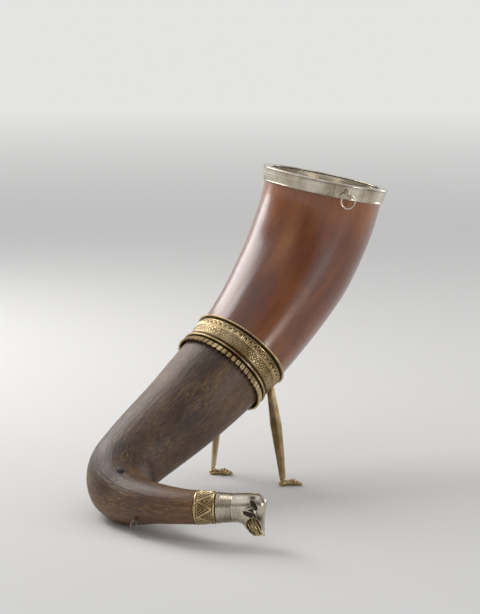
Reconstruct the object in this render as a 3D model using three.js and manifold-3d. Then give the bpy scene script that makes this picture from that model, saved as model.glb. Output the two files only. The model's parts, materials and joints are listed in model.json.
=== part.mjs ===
// A mounted drinking horn: an ox horn with a metal rim, an ornamented middle band standing on two cast
// legs with clawed feet, and a collar and beast-head finial on the tip. Two small hanging rings, one on
// the rim and one under the bend, once took the ends of a carrying strap.
//
// Millimetres, +Z up. +X is the way the horn leans as it rises, +Y is the drinker's left of that.
// The horn stands on the underside of its bend and on the two feet. The origin is on the table, under
// the middle of the whole object.

import * as THREE from "three";
import { mergeVertices } from "three/addons/utils/BufferGeometryUtils.js";
import Module from "manifold-3d";

const wasm = await Module();
wasm.setup();

// The horn's centreline from mouth edge to tip: a body that leans forward in one upright plane, a sharp
// bend to the right at the table, and a tip that rises a little.
const HORN_PATH = [
  [80, -4.2, 215],
  [77.9, -2.9, 203.2],
  [74.4, -1.7, 190.3],
  [65.9, -0.4, 171.4],
  [52, 0, 149.5],
  [10, 0, 105.5],
  [-47, 0, 65.5],
  [-97, 0, 37],
  [-113, -4, 29.5],
  [-125, -16, 22],
  [-129.5, -33, 19],
  [-132.2, -70.4, 22.9],
  [-126.2, -94.7, 24.8],
  [-113.1, -113.3, 25.9],
];
const MOUTH_DIAMETER = 87.2;
const SHOULDER_DIAMETER = 82.8;
const CHEST_DIAMETER = 71.5;
const WAIST_DIAMETER = 61;
const HAUNCH_DIAMETER = 49.5;
const BEND_DIAMETER = 39.2;
const WRIST_DIAMETER = 27.7;
const TIP_DIAMETER = 19.4;
// Each diameter with its distance from the mouth edge along the centreline.
const TAPER = [
  [0, MOUTH_DIAMETER],
  [61, SHOULDER_DIAMETER],
  [124, CHEST_DIAMETER],
  [201, WAIST_DIAMETER],
  [263, HAUNCH_DIAMETER],
  [303, BEND_DIAMETER],
  [344, WRIST_DIAMETER],
  [401, TIP_DIAMETER],
];
const MOUTH_WALL = 2.6; // the horn is thin at the mouth
const DEEP_WALL = 6; // and thick where the hollow ends
const HOLLOW_DEPTH = 300; // from the mouth edge, along the centreline
const HOLLOW_END_ROUND = 14; // length over which the hollow closes
const TIP_SHAVE = 1.15; // the horn is pared down here, so that the tip mount sits flush
const KNOT_HOLE_DIAMETER = 3; // an old peg hole on top of the bend
const KNOT_HOLE_DEPTH = 3.5;
const KNOT_HOLE_PLACE = { distance: 311, angle: 166 };

// Clearance between neighbouring pieces, and the sheet metal's thickness.
const GAP = 0.3;
const SHEET = 0.8;

// Rim mount: band outside, lining inside, lip over the horn's edge.
const RIM_BAND_HEIGHT = 9.3;
const RIM_FLARE = 1.2; // how far the band opens outwards at its top
const RIM_BEAD_HEIGHT = 1.2; // the thickened lower edge
const RIM_BEAD_RELIEF = 0.45;
const RIM_LINING_DEPTH = 14;
const RIM_LIP_HEIGHT = 1.2;
const RIM_LIP_OVERHANG = 0.9; // beyond the band's flared top
const RIM_LIP_ROUND = 0.35;
const RIM_PIN_DISTANCE = 7; // pins below the mouth edge
const RIM_PIN_ANGLES = [130, 10, 250];

// Middle band, from its upper edge towards the tip.
const BAND_START = 144.7;
const BAND_LEAN = 0.06; // the band sits askew: its underside is nearer the mouth, by this slope
const BAND_WIRE_DIAMETER = 2.4;
const BAND_PLATE_LENGTH = 15.6;
const FRINGE_LENGTH = 4.6;
const FRINGE_FLARE = 1.6;
const FRINGE_TEETH = 52;
const FRINGE_TOOTH_DEPTH = 2.4;
const BAND_PIN_ANGLES = [0, 225, 270];

// Legs, cast in one piece with their feet. Stride and splay carry the ankle from the leg's seat.
const LEG_SEAT_ANGLE = 50; // from the underside of the horn, round its axis
const LEG_SEAT_OFFSET = 2.6; // from the band plate's middle towards the mouth
const LEG_ROOT = 3.6; // what the shank's blank has inside the seat, before the seat is cut to fit
const LEG_ROOT_RISE = 1.2;
const LEG_BOW = 1.5; // sideways, towards the outside
const LEG_SEAT_WIDTH = 6;
const KNEE_WIDTH = 6.9;
const CALF_WIDTH = 8.4;
const SHIN_WIDTH = 7.2;
const ANKLE_WIDTH = 4.2;
const ANKLE_HEIGHT = 4.2;
const LEG_DEPTH_SHARE = 0.72; // depth against width
// The shank's section in shares of its width and depth: a ridge to the outside, flat towards the horn.
const SHANK_SECTION = [
  [0, 0.62],
  [-0.42, 0.12],
  [-0.5, -0.12],
  [-0.3, -0.42],
  [0.3, -0.42],
  [0.5, -0.12],
  [0.42, 0.12],
];
const LEGS = [
  { name: "right_leg", side: 1, stride: 4.8, splay: 5.2, toeHeading: -26 },
  { name: "left_leg", side: -1, stride: -9.6, splay: -1, toeHeading: -44 },
];
// The foot's rounded forms. Along is measured from the ankle towards the toes.
const HEEL = { along: 0, up: 1.9, length: 6.4, width: 5.3, height: 5.1 };
const INSTEP = { along: 4.2, up: 1.8, length: 9.9, width: 6.2, height: 4.6 };
const TOE = { along: 9.6, up: 1.6, length: 5.8, width: 2.9, height: 3.9 };
const TOES = 3;
const TOE_PITCH = 2.7;
const TOE_SPREAD = 13; // degrees between neighbours
const OUTER_TOE_BACK = 0.6;
const CLAW = { along: 3.2, up: 1.4, length: 3.8, diameter: 1.9, droop: 0.14 }; // along from the toe's middle

// Tip mount: collar between two wires, then the finial's neck and head.
const COLLAR_START = 382;
const COLLAR_LENGTH = 12.4;
const COLLAR_WIRE_DIAMETER = 1.4;
const TIP_GROOVE = 0.9; // between the collar and the neck
const NECK_LENGTH = 10;
const NECK_BACK_WALL = 0.6;
const NECK_ROLL_LENGTH = 2; // the neck's rounded back edge
const NECK_ROLL_RELIEF = 0.35;
const NECK_FRONT_DIAMETER = 18.8;
// The head bends down from the neck. All its sizes are in units of the neck's front radius, along the
// neck's axis from its end, up from the axis and out to the side. Each section runs from the crown or
// the brow to the throat or the jaw.
const HEAD_SECTIONS = [
  { crown: [0, 1], throat: [0, -1], width: 2 },
  { crown: [0.66, 1.02], throat: [0.36, -0.98], width: 2.02 },
  { crown: [1.32, 1.03], throat: [0.56, -1.03], width: 1.98 },
  { crown: [1.94, 0.97], throat: [0.66, -1.14], width: 1.86 },
  { crown: [2.35, 0.5], throat: [0.76, -1.32], width: 1.7 },
  { crown: [2.2, -0.22], throat: [0.88, -1.52], width: 1.48 },
  { crown: [2.13, -0.86], throat: [1.06, -1.72], width: 1.3 },
  { crown: [2.1, -1.4], throat: [1.28, -1.88], width: 1.1 },
  { crown: [1.98, -1.83], throat: [1.58, -2.02], width: 0.76 },
];
const HEAD_SQUARENESS = 0.9; // 1 is round, and less is squarer
// The open mouth, seen from the side, and the ribbed palate that shows in it.
const MOUTH_CUT_WIDTH = 3; // from side to side, right through
const MOUTH_OUTLINE = [
  [1.26, -0.53],
  [0.98, -0.9],
  [0.99, -1.25],
  [1.2, -1.58],
  [1.46, -1.82],
  [1.52, -2.3],
  [1.8, -2.3],
  [1.8, -1.7],
  [1.74, -1.2],
  [1.54, -0.75],
];
const PALATE = { along: 1.34, up: -1.26, side: 0, length: 0.98, width: 0.8, height: 1.56, tilt: 0.3 };
// Hollows and raised features on both cheeks.
const EYE_SOCKET = { along: 1.08, up: 0.17, side: 1.02, length: 0.8, width: 0.5, height: 0.9, tilt: 0.4 };
const EYE = { along: 1.12, up: 0.1, side: 0.84, length: 0.34, width: 0.3, height: 0.28, tilt: 0 };
const BROW = { along: 1.36, up: 0.66, side: 0.66, length: 0.8, width: 0.42, height: 0.34, tilt: 0.2 };
const EAR = { along: 0.5, up: 0.5, side: 0.9, length: 0.9, width: 0.26, height: 0.44, tilt: -0.35 };
const EAR_KNOB = { along: 0.22, up: 0.02, side: 0.94, length: 0.34, width: 0.3, height: 0.34, tilt: 0 };
const NOSTRIL = { along: 1.96, up: -1.66, side: 0.3, length: 0.32, width: 0.28, height: 0.36, tilt: 0 };

// Hanging rings and the eyes that hold them.
const RIM_RING = { diameter: 11.4, wire: 1.1 };
const RIM_EYE = { loop: 4.8, wire: 1, pad: 4, padHeight: 0.6 };
const RIM_EYE_PLACE = { distance: 3.3, angle: 114 };
const BELLY_RING = { diameter: 7, wire: 0.9 };
const BELLY_EYE = { loop: 3.6, wire: 0.8, pad: 3.6, padHeight: 0.6 };
const BELLY_EYE_PLACE = { distance: 340.2, towards: [-0.8, 0, -0.6] };
const RING_REST = 0.25; // a hanging ring's clearance over its seat

// Pins that hold the mounts on the horn.
const PIN_DIAMETER = 1.2;
const PIN_HEAD_DIAMETER = 2.2;
const PIN_HEAD_HEIGHT = 0.6;
const TIP_PIN_LENGTH = 5;

// Facets.
const AROUND = 32;
const WIRE_SIDES = 6;
const PIN_SIDES = 8;
const HEAD_SIDES = 16;
const BODY_STEP = 18;
const TAIL_STEP = 8;
const TAIL_START = 240; // the sharp bend and the tip take finer steps from here
const MOUNT_STEP = 7;
const FRAME_STEP = 1;

const HORN = { color: 0x6b3f26, roughness: 0.42, metalness: 0 };
const SILVER = { color: 0xb9ae94, roughness: 0.3, metalness: 0.9 };
const GILT = { color: 0xb3925a, roughness: 0.32, metalness: 0.9 };

const X_AXIS = new THREE.Vector3(1, 0, 0);
const Z_AXIS = new THREE.Vector3(0, 0, 1);
const radians = THREE.MathUtils.degToRad;

// The horn's line

const path = new THREE.CatmullRomCurve3(HORN_PATH.map((p) => new THREE.Vector3(...p)));
path.arcLengthDivisions = 1200;
const HORN_LENGTH = path.getLength();
const taper = new THREE.CubicInterpolant(
  TAPER.map(([distance]) => distance),
  TAPER.map(([, diameter]) => diameter),
  1,
  new Float64Array(1),
);
const shoulder = COLLAR_START - GAP; // where the paring starts
const unparedRadius = (s) => taper.evaluate(Math.min(Math.max(s, 0), HORN_LENGTH))[0] / 2;
const skinRadius = (s) => unparedRadius(s) - (s > shoulder ? TIP_SHAVE : 0);
const wallAt = (s) => MOUTH_WALL + ((DEEP_WALL - MOUTH_WALL) * Math.max(s, 0)) / HOLLOW_DEPTH;

// The direction that starts as the underside of the body, carried along the line without twisting.
const undersides = [];
for (let s = 0, under = X_AXIS.clone(); s <= HORN_LENGTH + FRAME_STEP; s += FRAME_STEP) {
  const along = path.getTangentAt(Math.min(s / HORN_LENGTH, 1));
  under = under.clone().projectOnPlane(along).normalize();
  undersides.push(under);
}

// The frame of the horn's line at a distance from the mouth edge, continued straight past both ends.
function frameAt(s) {
  const inside = Math.min(Math.max(s, 0), HORN_LENGTH);
  const along = path.getTangentAt(inside / HORN_LENGTH);
  const centre = path.getPointAt(inside / HORN_LENGTH).addScaledVector(along, s - inside);
  const step = Math.floor(inside / FRAME_STEP);
  const under = undersides[step].clone().lerp(undersides[step + 1], inside / FRAME_STEP - step);
  under.projectOnPlane(along).normalize();
  const right = new THREE.Vector3().crossVectors(along, under);
  return { centre, along, under, right };
}

// A shape modelled straight, with its Y along the horn, laid along the horn's line. A leaning shape is
// sheared first, so that its underside comes nearer the mouth, and keeps its height above the skin.
function bendOntoHorn(geometry, lean = 0) {
  const position = geometry.attributes.position;
  for (let i = 0; i < position.count; i++) {
    const [x, y, z] = [position.getX(i), position.getY(i), position.getZ(i)];
    const s = y - z * lean;
    const reach = Math.hypot(x, z);
    const spread = reach > 0 ? 1 + (skinRadius(s) - skinRadius(y)) / reach : 1;
    const f = frameAt(s);
    const p = f.centre.addScaledVector(f.right, x * spread).addScaledVector(f.under, z * spread);
    position.setXYZ(i, p.x, p.y, p.z);
  }
  return geometry;
}

// The outward direction at an angle from the underside, towards the right.
function outwardAt(s, degrees) {
  const f = frameAt(s);
  return f.under
    .multiplyScalar(Math.cos(radians(degrees)))
    .addScaledVector(f.right, Math.sin(radians(degrees)));
}

// A placement on what covers the horn, square to its surface: local Y points out, local X runs along.
// The cover is given as its height above the skin at each distance.
function seatOn(cover, s, outward) {
  const f = frameAt(s);
  const radial = outward.clone().projectOnPlane(f.along).normalize();
  const radius = (at) => skinRadius(at) + cover(at);
  const slope = radius(s + FRAME_STEP / 2) - radius(s - FRAME_STEP / 2);
  const out = radial.clone().addScaledVector(f.along, -slope / FRAME_STEP).normalize();
  const run = f.along.clone().projectOnPlane(out).normalize();
  const side = new THREE.Vector3().crossVectors(run, out);
  const place = f.centre.clone().addScaledVector(radial, radius(s));
  return new THREE.Matrix4().makeBasis(run, out, side).setPosition(place);
}

// Solids

function solidOf(geometry) {
  const bare = geometry.index ? geometry.toNonIndexed() : geometry.clone();
  for (const name of Object.keys(bare.attributes)) if (name !== "position") bare.deleteAttribute(name);
  const merged = mergeVertices(bare, 1e-4);
  const mesh = new wasm.Mesh({
    numProp: 3,
    vertProperties: merged.attributes.position.array,
    triVerts: new Uint32Array(merged.index.array),
  });
  return new wasm.Manifold(mesh);
}

function geometryOf(solid) {
  const mesh = solid.getMesh();
  const position = new Float32Array(mesh.numVert * 3);
  for (let i = 0; i < mesh.numVert; i++) {
    position.set(mesh.vertProperties.subarray(i * mesh.numProp, i * mesh.numProp + 3), i * 3);
  }
  const geometry = new THREE.BufferGeometry();
  geometry.setAttribute("position", new THREE.BufferAttribute(position, 3));
  geometry.setIndex(new THREE.BufferAttribute(mesh.triVerts, 1));
  geometry.computeVertexNormals();
  return geometry;
}

const join = (...geometries) => geometryOf(geometries.map(solidOf).reduce((a, b) => a.add(b)));
const cut = (geometry, ...tools) =>
  tools.length ? geometryOf(tools.map(solidOf).reduce((a, b) => a.subtract(b), solidOf(geometry))) : geometry;

const ellipsoid = (length, width, height, x, y, z, turn = 0) =>
  new THREE.SphereGeometry(0.5, 8, 6).scale(length, width, height).rotateZ(turn).translate(x, y, z);

// A skin through rings of equal point counts, closed at both ends.
function loft(rings) {
  const sides = rings[0].length;
  const points = rings.flat();
  const triangles = [];
  for (let r = 0; r + 1 < rings.length; r++) {
    for (let i = 0; i < sides; i++) {
      const a = r * sides + i;
      const b = r * sides + ((i + 1) % sides);
      triangles.push(a, b, a + sides, b, b + sides, a + sides);
    }
  }
  for (const [first, order] of [
    [0, -1],
    [(rings.length - 1) * sides, 1],
  ]) {
    for (let i = 1; i + 1 < sides; i++) {
      triangles.push(first, first + (order > 0 ? i : i + 1), first + (order > 0 ? i + 1 : i));
    }
  }
  const geometry = new THREE.BufferGeometry().setFromPoints(points);
  geometry.setIndex(triangles);
  return geometry;
}

// A profile of [distance, radius] turned round the horn's line.
function turned(profile, lean = 0) {
  const points = profile.map(([s, r]) => new THREE.Vector2(r, s));
  return bendOntoHorn(new THREE.LatheGeometry(points, AROUND), lean);
}

const steps = (from, to, step) => {
  const count = Math.max(1, Math.round(Math.abs(to - from) / step));
  return Array.from({ length: count + 1 }, (_, i) => from + ((to - from) * i) / count);
};

// A sheet on the horn between two distances, its inner and outer faces given as heights above the skin.
function sleeve(from, to, inner, outer, lean = 0) {
  const stations = steps(from, to, MOUNT_STEP);
  const profile = [
    ...stations.map((s) => [s, skinRadius(s) + outer(s)]),
    ...stations.reverse().map((s) => [s, skinRadius(s) + inner(s)]),
    [from, skinRadius(from) + outer(from)],
  ];
  return turned(profile, lean);
}

// A round wire laid round the horn, its inner side a gap above the skin.
function wireRound(s, diameter, lean = 0) {
  const centre = skinRadius(s) + GAP + diameter / 2;
  const profile = [];
  for (let i = 0; i <= WIRE_SIDES; i++) {
    const turn = ((2 * i + 1) * Math.PI) / WIRE_SIDES;
    profile.push([s + (Math.sin(turn) * diameter) / 2, centre + (Math.cos(turn) * diameter) / 2]);
  }
  return turned(profile, lean);
}

// Pins

const pins = [];
function pinAt(name, s, degrees, cover, length) {
  const radius = PIN_DIAMETER / 2;
  const seat = GAP;
  const dome = [0, 45, 90].map(radians).map((rise) => [
    (PIN_HEAD_DIAMETER / 2) * Math.cos(rise),
    seat + PIN_HEAD_HEIGHT * Math.sin(rise),
  ]);
  dome[dome.length - 1][0] = 0;
  const profile = [[0, -length], [radius, -length], [radius, seat], ...dome];
  const shape = new THREE.LatheGeometry(profile.map(([r, y]) => new THREE.Vector2(r, y)), PIN_SIDES);
  const place = seatOn(cover, s, outwardAt(s, degrees));
  const reach = length + seat + GAP;
  const hole = new THREE.CylinderGeometry(radius + GAP, radius + GAP, reach, PIN_SIDES);
  hole.translate(0, seat - reach / 2, 0);
  const pin = { name, s, shape: shape.applyMatrix4(place), hole: hole.applyMatrix4(place) };
  pins.push(pin);
  return pin;
}

// Heights above the skin: of the plates, and of the rim band, which opens out towards the mouth edge.
const plateTop = () => GAP + SHEET;
const bandTop = (s) => GAP + SHEET + (RIM_FLARE * Math.max(RIM_BAND_HEIGHT - s, 0)) / RIM_BAND_HEIGHT;

const rimPinLength = bandTop(RIM_PIN_DISTANCE) + wallAt(RIM_PIN_DISTANCE) + GAP + SHEET;
const rimPins = RIM_PIN_ANGLES.map((angle, i) =>
  pinAt(`rim_pin_${i + 1}`, RIM_PIN_DISTANCE, angle, bandTop, rimPinLength),
);
const plateStart = BAND_START + BAND_WIRE_DIAMETER + GAP;
const plateEnd = plateStart + BAND_PLATE_LENGTH;
const bandPinDistance = (plateStart + plateEnd) / 2;
const bandPins = BAND_PIN_ANGLES.map((angle, i) =>
  pinAt(`band_pin_${i + 1}`, bandPinDistance, angle, plateTop, GAP + SHEET + wallAt(bandPinDistance)),
);
const collarEnd = COLLAR_START + COLLAR_LENGTH;
const collarPin = pinAt("collar_pin", COLLAR_START + COLLAR_LENGTH / 2, 0, plateTop, TIP_PIN_LENGTH);

// Horn

function horn() {
  // Under the rim mount the stations are the mount's own, so that the two keep their clearance.
  const mouth = steps(0, RIM_LINING_DEPTH, MOUNT_STEP);
  const deep = steps(RIM_LINING_DEPTH, HOLLOW_DEPTH, BODY_STEP).slice(1);
  const hollow = [...mouth, ...deep].map((s) => [s, skinRadius(s) - wallAt(s)]);
  const throat = skinRadius(HOLLOW_DEPTH) - wallAt(HOLLOW_DEPTH);
  const closing = [0.5, 0.85].map((share) => [
    HOLLOW_DEPTH + HOLLOW_END_ROUND * share,
    throat * Math.sqrt(1 - share * share),
  ]);
  closing.push([HOLLOW_DEPTH + HOLLOW_END_ROUND, 0]);
  const chest = steps(RIM_LINING_DEPTH, TAIL_START, BODY_STEP).slice(1);
  const tail = steps(TAIL_START, shoulder, TAIL_STEP).slice(1);
  const outside = [...mouth, ...chest, ...tail].map((s) => [s, skinRadius(s)]);
  const pared = steps(shoulder, HORN_LENGTH, TAIL_STEP).map((s) => [s, unparedRadius(s) - TIP_SHAVE]);
  const skin = [...outside, ...pared, [HORN_LENGTH, 0]];
  const body = turned([...closing.reverse(), ...hollow.reverse(), ...skin]);
  const { distance, angle } = KNOT_HOLE_PLACE;
  const hole = new THREE.SphereGeometry(0.5, 10, 8);
  hole.scale(KNOT_HOLE_DIAMETER, KNOT_HOLE_DEPTH * 2, KNOT_HOLE_DIAMETER);
  hole.applyMatrix4(seatOn(() => 0, distance, outwardAt(distance, angle)));
  return cut(body, hole, ...pins.map((pin) => pin.hole));
}

// Rim mount

function rimBand() {
  const beadStart = RIM_BAND_HEIGHT - RIM_BEAD_HEIGHT;
  const bead = (s) => (s > beadStart ? RIM_BEAD_RELIEF : 0);
  const inner = (s) => bandTop(s) - SHEET;
  const stations = [0, RIM_BAND_HEIGHT / 2, beadStart, beadStart + RIM_BEAD_RELIEF, RIM_BAND_HEIGHT];
  const band = turned([
    ...stations.map((s) => [s, skinRadius(s) + bandTop(s) + bead(s)]),
    ...stations.reverse().map((s) => [s, skinRadius(s) + inner(s)]),
    [0, skinRadius(0) + bandTop(0)],
  ]);
  return cut(band, ...rimPins.map((pin) => pin.hole));
}

function rimLining() {
  const outer = (s) => -wallAt(s) - GAP;
  const lining = sleeve(0, RIM_LINING_DEPTH, (s) => outer(s) - SHEET, outer);
  return cut(lining, ...rimPins.map((pin) => pin.hole));
}

const lipInside = skinRadius(0) - MOUTH_WALL - GAP - SHEET;
const lipOutside = skinRadius(0) + bandTop(0) + RIM_LIP_OVERHANG;

function rimLip() {
  const under = -GAP;
  const top = -GAP - RIM_LIP_HEIGHT;
  return turned([
    [top, lipInside + RIM_LIP_ROUND],
    [top, lipOutside - RIM_LIP_ROUND],
    [top + RIM_LIP_ROUND, lipOutside],
    [under - RIM_LIP_ROUND, lipOutside],
    [under, lipOutside - RIM_LIP_ROUND],
    [under, lipInside],
    [top + RIM_LIP_ROUND, lipInside],
    [top, lipInside + RIM_LIP_ROUND],
  ]);
}

// Middle band

const upperWireAt = BAND_START + BAND_WIRE_DIAMETER / 2;
const lowerWireAt = plateEnd + GAP + BAND_WIRE_DIAMETER / 2;
const fringeStart = plateEnd + 2 * GAP + BAND_WIRE_DIAMETER;

function bandPlate() {
  const plate = sleeve(plateStart, plateEnd, () => GAP, plateTop, BAND_LEAN);
  return cut(plate, ...bandPins.map((pin) => pin.hole));
}

// A skirt that opens towards the tip, its free edge cut into pointed teeth.
function bandFringe() {
  const end = fringeStart + FRINGE_LENGTH;
  const lift = (s) => (FRINGE_FLARE * (s - fringeStart)) / FRINGE_LENGTH;
  const outside = (s) => skinRadius(s) + GAP + SHEET + lift(s);
  const inside = (s) => skinRadius(s) + GAP + lift(s);
  const neck = end - FRINGE_TOOTH_DEPTH;
  const profile = [
    [fringeStart, outside(fringeStart)],
    [end, outside(end)],
    [end, inside(end)],
    [fringeStart, inside(fringeStart)],
    [fringeStart, outside(fringeStart)],
  ];
  const around = FRINGE_TEETH * 2;
  const geometry = new THREE.LatheGeometry(profile.map(([s, r]) => new THREE.Vector2(r, s)), around);
  const position = geometry.attributes.position;
  for (let i = 0; i < position.count; i++) {
    const column = Math.floor(i / profile.length) % around;
    if (column % 2 && position.getY(i) > end - 1e-3) {
      const wide = Math.hypot(position.getX(i), position.getZ(i));
      const radius = wide > (inside(end) + outside(end)) / 2 ? outside(neck) : inside(neck);
      position.setXYZ(i, (position.getX(i) * radius) / wide, neck, (position.getZ(i) * radius) / wide);
    }
  }
  return bendOntoHorn(geometry, BAND_LEAN);
}

// The lowest point of the horn's skin, which the table touches.
function tableHeight() {
  let lowest = Infinity;
  for (const s of steps(0, HORN_LENGTH, FRAME_STEP)) {
    const f = frameAt(s);
    const drop = skinRadius(s) * Math.hypot(f.under.z, f.right.z);
    lowest = Math.min(lowest, f.centre.z - drop);
  }
  return lowest;
}
const TABLE = tableHeight();

// Legs

// A clawed foot with a flat sole on z = 0, its ankle over the origin and its toes towards +X.
function foot() {
  const lump = ({ length, width, height, along, up }) => ellipsoid(length, width, height, along, 0, up);
  const pieces = [lump(HEEL), lump(INSTEP)];
  for (let i = 0; i < TOES; i++) {
    const side = i - (TOES - 1) / 2;
    const along = TOE.along - OUTER_TOE_BACK * Math.abs(side);
    const toe = ellipsoid(TOE.length, TOE.width, TOE.height, 0, 0, TOE.up);
    const claw = new THREE.ConeGeometry(CLAW.diameter / 2, CLAW.length, 6);
    claw.rotateZ(-Math.PI / 2).rotateY(CLAW.droop).translate(CLAW.along, 0, CLAW.up);
    for (const shape of [toe, claw]) {
      pieces.push(shape.rotateZ(radians(side * TOE_SPREAD)).translate(along, side * TOE_PITCH, 0));
    }
  }
  const below = new THREE.BoxGeometry(INSTEP.length * 5, INSTEP.length * 5, HEEL.height);
  return cut(join(...pieces), below.translate(0, 0, -HEEL.height / 2));
}

// The space that the band and the horn fill round a leg's seat, with the clearance.
function seatEnvelope() {
  const margin = 12;
  const fringeEnd = fringeStart + FRINGE_LENGTH;
  const overPlate = GAP + SHEET + GAP;
  const overWire = GAP + BAND_WIRE_DIAMETER + GAP;
  const cover = [
    [BAND_START - margin, GAP],
    [BAND_START - GAP, GAP],
    [BAND_START - GAP, overWire],
    [plateStart, overWire],
    [plateStart, overPlate],
    [plateEnd, overPlate],
    [plateEnd, overWire],
    [fringeStart, overWire],
    [fringeStart, overPlate],
    [fringeEnd + GAP, overPlate + FRINGE_FLARE],
    [fringeEnd + GAP, GAP],
    [fringeEnd + margin, GAP],
  ];
  const outside = cover.map(([s, height]) => [s, skinRadius(s) + height]);
  return turned([[BAND_START - margin, 0], ...outside, [fringeEnd + margin, 0]], BAND_LEAN);
}

function leg({ side, stride, splay, toeHeading }) {
  const seatDistance = (plateStart + plateEnd) / 2 - LEG_SEAT_OFFSET;
  const out = outwardAt(seatDistance, side * LEG_SEAT_ANGLE);
  const seat = frameAt(seatDistance).centre.addScaledVector(out, skinRadius(seatDistance) + GAP + SHEET);
  const ankle = new THREE.Vector3(seat.x + stride, seat.y - side * splay, TABLE + ANKLE_HEIGHT);
  const root = seat.clone().addScaledVector(out, -LEG_ROOT).addScaledVector(Z_AXIS, LEG_ROOT_RISE);
  const knee = seat.clone().lerp(ankle, 1 / 3);
  knee.y -= side * LEG_BOW;
  knee.z = (seat.z + ankle.z) / 2;
  const bow = new THREE.QuadraticBezierCurve3(root, knee, ankle);
  const widths = [
    [0, LEG_SEAT_WIDTH],
    [0.12, LEG_SEAT_WIDTH],
    [0.24, KNEE_WIDTH],
    [0.42, CALF_WIDTH],
    [0.62, SHIN_WIDTH],
    [0.82, (SHIN_WIDTH + ANKLE_WIDTH) / 2],
    [1, ANKLE_WIDTH],
  ];
  const ridge = new THREE.Vector3(-0.5, -side, 0).normalize();
  const across = new THREE.Vector3().crossVectors(Z_AXIS, ridge);
  const rings = widths.map(([share, width]) =>
    SHANK_SECTION.map(([x, y]) =>
      bow
        .getPoint(share)
        .addScaledVector(across, x * width)
        .addScaledVector(ridge, y * width * LEG_DEPTH_SHARE),
    ),
  );
  const sole = foot().rotateZ(radians(toeHeading)).translate(ankle.x, ankle.y, TABLE);
  return cut(join(loft(rings), sole), seatEnvelope());
}

// Tip mount

const collarPlateStart = COLLAR_START + COLLAR_WIRE_DIAMETER + GAP;
const collarPlateEnd = collarEnd - COLLAR_WIRE_DIAMETER - GAP;
const neckStart = collarEnd + TIP_GROOVE;
const neckEnd = neckStart + NECK_LENGTH;

function collarPlate() {
  const plate = sleeve(collarPlateStart, collarPlateEnd, () => GAP, plateTop);
  return cut(plate, collarPin.hole);
}

// The finial's sleeve: open at the back, where it takes the horn's tip, and closed by the head.
function finialNeck() {
  const back = skinRadius(neckStart) + GAP;
  const socketEnd = HORN_LENGTH + GAP;
  const socketEndRadius = skinRadius(HORN_LENGTH) + GAP;
  const front = NECK_FRONT_DIAMETER / 2;
  const outside = steps(0, 1, 1 / 6).map((share) => {
    const rolled = share * NECK_LENGTH <= NECK_ROLL_LENGTH + GAP ? NECK_ROLL_RELIEF : 0;
    const flare = (front - back - NECK_BACK_WALL) * share * share;
    return [neckStart + NECK_LENGTH * share, back + NECK_BACK_WALL + flare + rolled];
  });
  const socket = [[socketEnd, 0], [socketEnd, socketEndRadius], [neckStart, back]];
  return turned([...socket, ...outside, [neckEnd, 0]]);
}

// The beast's head, modelled with X along the neck and Z up.
function finialHead() {
  const unit = NECK_FRONT_DIAMETER / 2;
  const squared = (v) => Math.sign(v) * Math.abs(v) ** HEAD_SQUARENESS;
  const skull = loft(
    HEAD_SECTIONS.map(({ crown, throat, width }, section) => {
      const round = section === 0 ? (v) => v : squared;
      return Array.from({ length: HEAD_SIDES }, (_, i) => {
        const turn = (-i / HEAD_SIDES) * 2 * Math.PI;
        const share = (1 + round(Math.cos(turn))) / 2;
        const along = throat[0] + (crown[0] - throat[0]) * share;
        const up = throat[1] + (crown[1] - throat[1]) * share;
        return new THREE.Vector3(along, (width / 2) * round(Math.sin(turn)), up);
      });
    }),
  );
  const lump = ({ along, up, side, length, width, height, tilt }, way) =>
    ellipsoid(length, width, height, 0, 0, 0).rotateY(-tilt).translate(along, side * way, up);
  const outline = new THREE.Shape(MOUTH_OUTLINE.map(([along, up]) => new THREE.Vector2(along, up)));
  const depth = MOUTH_CUT_WIDTH;
  const mouth = new THREE.ExtrudeGeometry(outline, { depth, bevelEnabled: false });
  mouth.translate(0, 0, -depth / 2).rotateX(Math.PI / 2);
  const hollows = [mouth, ...[-1, 1].map((way) => lump(EYE_SOCKET, way))];
  const raised = [EYE, BROW, EAR, EAR_KNOB, NOSTRIL];
  const features = [-1, 1].flatMap((way) => raised.map((feature) => lump(feature, way)));
  const head = join(cut(skull, ...hollows), lump(PALATE, 1), ...features).scale(unit, unit, unit);
  const frame = frameAt(neckEnd);
  const up = Z_AXIS.clone().projectOnPlane(frame.along).normalize();
  const sideways = new THREE.Vector3().crossVectors(up, frame.along);
  const place = frame.centre.addScaledVector(frame.along, GAP);
  return head.applyMatrix4(new THREE.Matrix4().makeBasis(frame.along, sideways, up).setPosition(place));
}

// Rings and eyes

// An eye: a pad lying on the surface and a wire loop standing on it, in the plane of local X and Y.
function eye({ loop, wire, pad, padHeight }) {
  const base = new THREE.CylinderGeometry(pad / 2, pad / 2, padHeight, 16).translate(0, padHeight / 2, 0);
  const ring = new THREE.TorusGeometry((loop - wire) / 2, wire / 2, 6, 16);
  return join(base, ring.translate(0, padHeight + loop / 2 - wire / 2, 0));
}

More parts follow.
